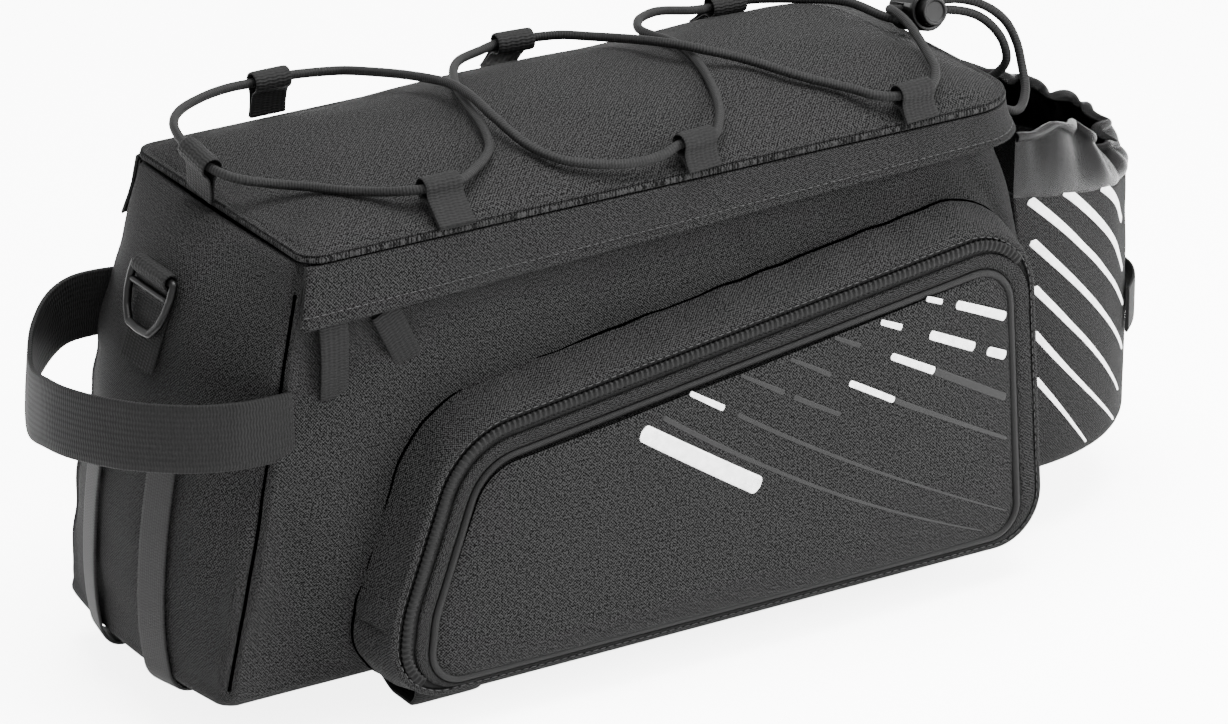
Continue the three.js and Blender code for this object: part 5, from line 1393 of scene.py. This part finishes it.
def cut(piece, sizes, middle):
    """Take a box of the lock's frame out of a piece."""
    box = np.array([[x, y, z] for x in (-1, 1) for y in (-1, 1) for z in (-1, 1)]) * np.array(sizes) / 2
    mesh = bpy.data.meshes.new("cutter")
    faces = [(0, 1, 3, 2), (4, 6, 7, 5), (0, 4, 5, 1), (2, 3, 7, 6), (0, 2, 6, 4), (1, 5, 7, 3)]
    mesh.from_pydata(((in_lock(box + middle) + ORIGIN) / 1000).tolist(), [], faces)
    cutter = bpy.data.objects.new("cutter", mesh)
    bpy.context.scene.collection.objects.link(cutter)
    modifier = piece.modifiers.new("slot", "BOOLEAN")
    modifier.object = cutter
    modifier.solver = "EXACT"
    bpy.context.view_layer.update()
    shape = bpy.data.meshes.new_from_object(piece.evaluated_get(bpy.context.evaluated_depsgraph_get()))
    piece.modifiers.clear()
    old = piece.data
    piece.data = shape
    bpy.data.meshes.remove(old)
    bpy.data.objects.remove(cutter)
    bpy.data.meshes.remove(mesh)


def make_lock():
    """The cord lock: a turned barrel open at the button's end, and the button. Both are slotted for the
    cord's two runs."""
    end = LOCK_LENGTH / 2
    bore = BUTTON_RADIUS + FIT
    outer = rounded([(0, end), (LOCK_RADIUS, end), (LOCK_RADIUS, -end), (bore, -end), (bore, end - LOCK_WALL),
                     (0, end - LOCK_WALL)], 0.9)
    barrel = add_piece("lock_shell", [lathe(outer)], PLASTIC, ["lock_barrel"])
    cut(barrel, (4 * LOCK_RADIUS, SLOT_WIDTH, SLOT_HEIGHT), (0, 0, 0))
    length = LOCK_LENGTH - LOCK_WALL - BUTTON_STROKE + BUTTON_OUT
    front, back = -end - BUTTON_OUT, -end - BUTTON_OUT + length - CAP_SHORTER
    cap = rounded([(0, back), (BUTTON_RADIUS, back), (BUTTON_RADIUS, front), (BUTTON_RADIUS - 1.2, front),
                   (BUTTON_RADIUS - 1.6, front + 0.5), (0, front + 0.35)], 0.6)
    button = add_piece("lock_cap", [lathe(cap)], PLASTIC, ["lock_button"], body="button")
    cut(button, (4 * LOCK_RADIUS, SLOT_WIDTH + BUTTON_STROKE, SLOT_HEIGHT), (0, -BUTTON_STROKE / 2, 0))


def make_rack_loops():
    """The loops under the bag: two at the handle end, one across the middle."""
    seat, low = -FIT - RACK_THICKNESS / 2, -RACK_DROP + RACK_THICKNESS / 2
    edge = BODY_WIDTH / 2 - 2
    side = [(-edge + 9, seat), (-edge + 3, seat * 2.2), (-edge, low * 0.42), (-edge + 0.6, low * 0.75),
            (-edge + 4, low), (-edge + 16, low), (-edge + 30, low * 0.6), (-edge + 42, seat * 1.5),
            (-edge + 50, seat)]
    half = RACK_MIDDLE_HALF
    arm = [(half - 6, seat), (half - 1, seat * 1.8), (half, low * 0.5), (half - 2, low * 0.85),
           (half - 8, low)]
    loops = {"near": (side, RACK_END_PLACE), "far": ([(-y, z) for y, z in side], RACK_END_PLACE),
             "middle": ([(-y, z) for y, z in arm] + arm[::-1], RACK_MIDDLE_PLACE)}
    for name, (points, share) in loops.items():
        line = curve([(share * BODY_LENGTH, y, z) for y, z in points], 120)
        line[:, 2] = np.maximum(line[:, 2], low)
        add_webbing(f"rack_webbing_{name}", line, (1, 0, 0), RACK_WIDTH, RACK_THICKNESS, f"rack_loop_{name}")


def dress_kept_nodes():
    """Better materials for the CAD solids that stay: the main zip and its two sliders."""
    for node, material in (("main_zip", ZIP_TAPE), ("zip_slider_1", SLIDER_PAINT),
                           ("zip_slider_2", SLIDER_PAINT)):
        solid = bpy.data.objects.get(node)
        if solid:
            solid.data.materials.clear()
            solid.data.materials.append(material)


make_body()
make_lid()
make_flap()
make_pulls()
make_side_pockets()
make_front_print()
make_handle()
make_end_strips()
make_ring_tab()
make_bottle_pocket()
make_collar()
make_light_strap()
LOOP_PLACES = loop_places()
make_cord_loops(LOOP_PLACES)
make_cord(LOOP_PLACES)
make_lock()
make_rack_loops()
dress_kept_nodes()


def place_camera():
    """A long lens looking at the bag from where the photograph was taken."""
    turn, lift = math.radians(VIEW_AZIMUTH), math.radians(VIEW_ELEVATION)
    back = np.array([math.sin(turn) * math.cos(lift), -math.cos(turn) * math.cos(lift), math.sin(lift)])
    camera = bpy.data.cameras.new("camera")
    camera.sensor_width = 36
    camera.lens = 36 * LENS_SHARE
    camera.clip_end = 20
    holder = bpy.data.objects.new("camera", camera)
    spot = (VIEW_TARGET + ORIGIN + back * VIEW_DISTANCE) / 1000
    right = np.array([math.cos(turn), math.sin(turn), 0])
    basis = np.stack([right, np.cross(back, right), back], 1)
    matrix = np.eye(4)
    matrix[:3, :3], matrix[:3, 3] = basis, spot
    bpy.context.scene.collection.objects.link(holder)
    holder.matrix_world = mathutils.Matrix(matrix.tolist())
    bpy.context.scene.camera = holder


def area_light(name, place, size, power, target=(0.02, 0, 0.08)):
    """A soft square lamp at a place, aimed at the bag."""
    lamp = bpy.data.lights.new(name, "AREA")
    lamp.size = size
    lamp.energy = power
    holder = bpy.data.objects.new(name, lamp)
    bpy.context.scene.collection.objects.link(holder)
    holder.location = place
    aim = mathutils.Vector(target) - mathutils.Vector(place)
    holder.rotation_euler = aim.to_track_quat("-Z", "Y").to_euler()


def backdrop_light(tree, strength, on_bag, seen):
    """A strength for the light that falls on the bag, and a larger one where the backdrop itself
    is seen."""
    path = tree.nodes.new("ShaderNodeLightPath")
    chosen = math_node(tree, "MULTIPLY_ADD", path.outputs["Is Camera Ray"], seen - on_bag, on_bag)
    tree.links.new(chosen, strength)


# Lamps: place and side length in metres, power in watts
LAMPS = {
    "lamp_above": ((0.1, -0.1, 1.6), 1.2, 120),
    "lamp_left": ((-1.3, -0.9, 0.9), 1.0, 8),
    "lamp_right": ((1.2, -1.1, 0.8), 1.0, 100),
}
# Strength of the world and of the floor's glow: on the bag, and where they are seen themselves
WORLD_LIGHT, FLOOR_GLOW = (2.2, 7.0), (1.6, 5.0)


def make_stage():
    """A pale floor, a white world and soft lamps: a large one above, one to each side."""
    world = bpy.data.worlds.new("studio")
    world.use_nodes = True
    world.node_tree.nodes["Background"].inputs["Color"].default_value = (1, 1, 1, 1)
    backdrop_light(world.node_tree, world.node_tree.nodes["Background"].inputs["Strength"], *WORLD_LIGHT)
    bpy.context.scene.world = world
    mesh = bpy.data.meshes.new("floor")
    mesh.from_pydata([(-40, -40, 0), (40, -40, 0), (40, 40, 0), (-40, 40, 0)], [], [(0, 1, 2, 3)])
    floor_material, _, shader = base_material("pale_floor")
    shader.inputs["Base Color"].default_value = (0.9, 0.9, 0.9, 1)
    shader.inputs["Roughness"].default_value = 0.9
    shader.inputs["Emission Color"].default_value = (1, 1, 1, 1)
    backdrop_light(floor_material.node_tree, shader.inputs["Emission Strength"], *FLOOR_GLOW)
    mesh.materials.append(floor_material)
    floor = bpy.data.objects.new("floor", mesh)
    bpy.context.scene.collection.objects.link(floor)
    for name, (place, size, power) in LAMPS.items():
        area_light(name, place, size, power)


place_camera()
make_stage()
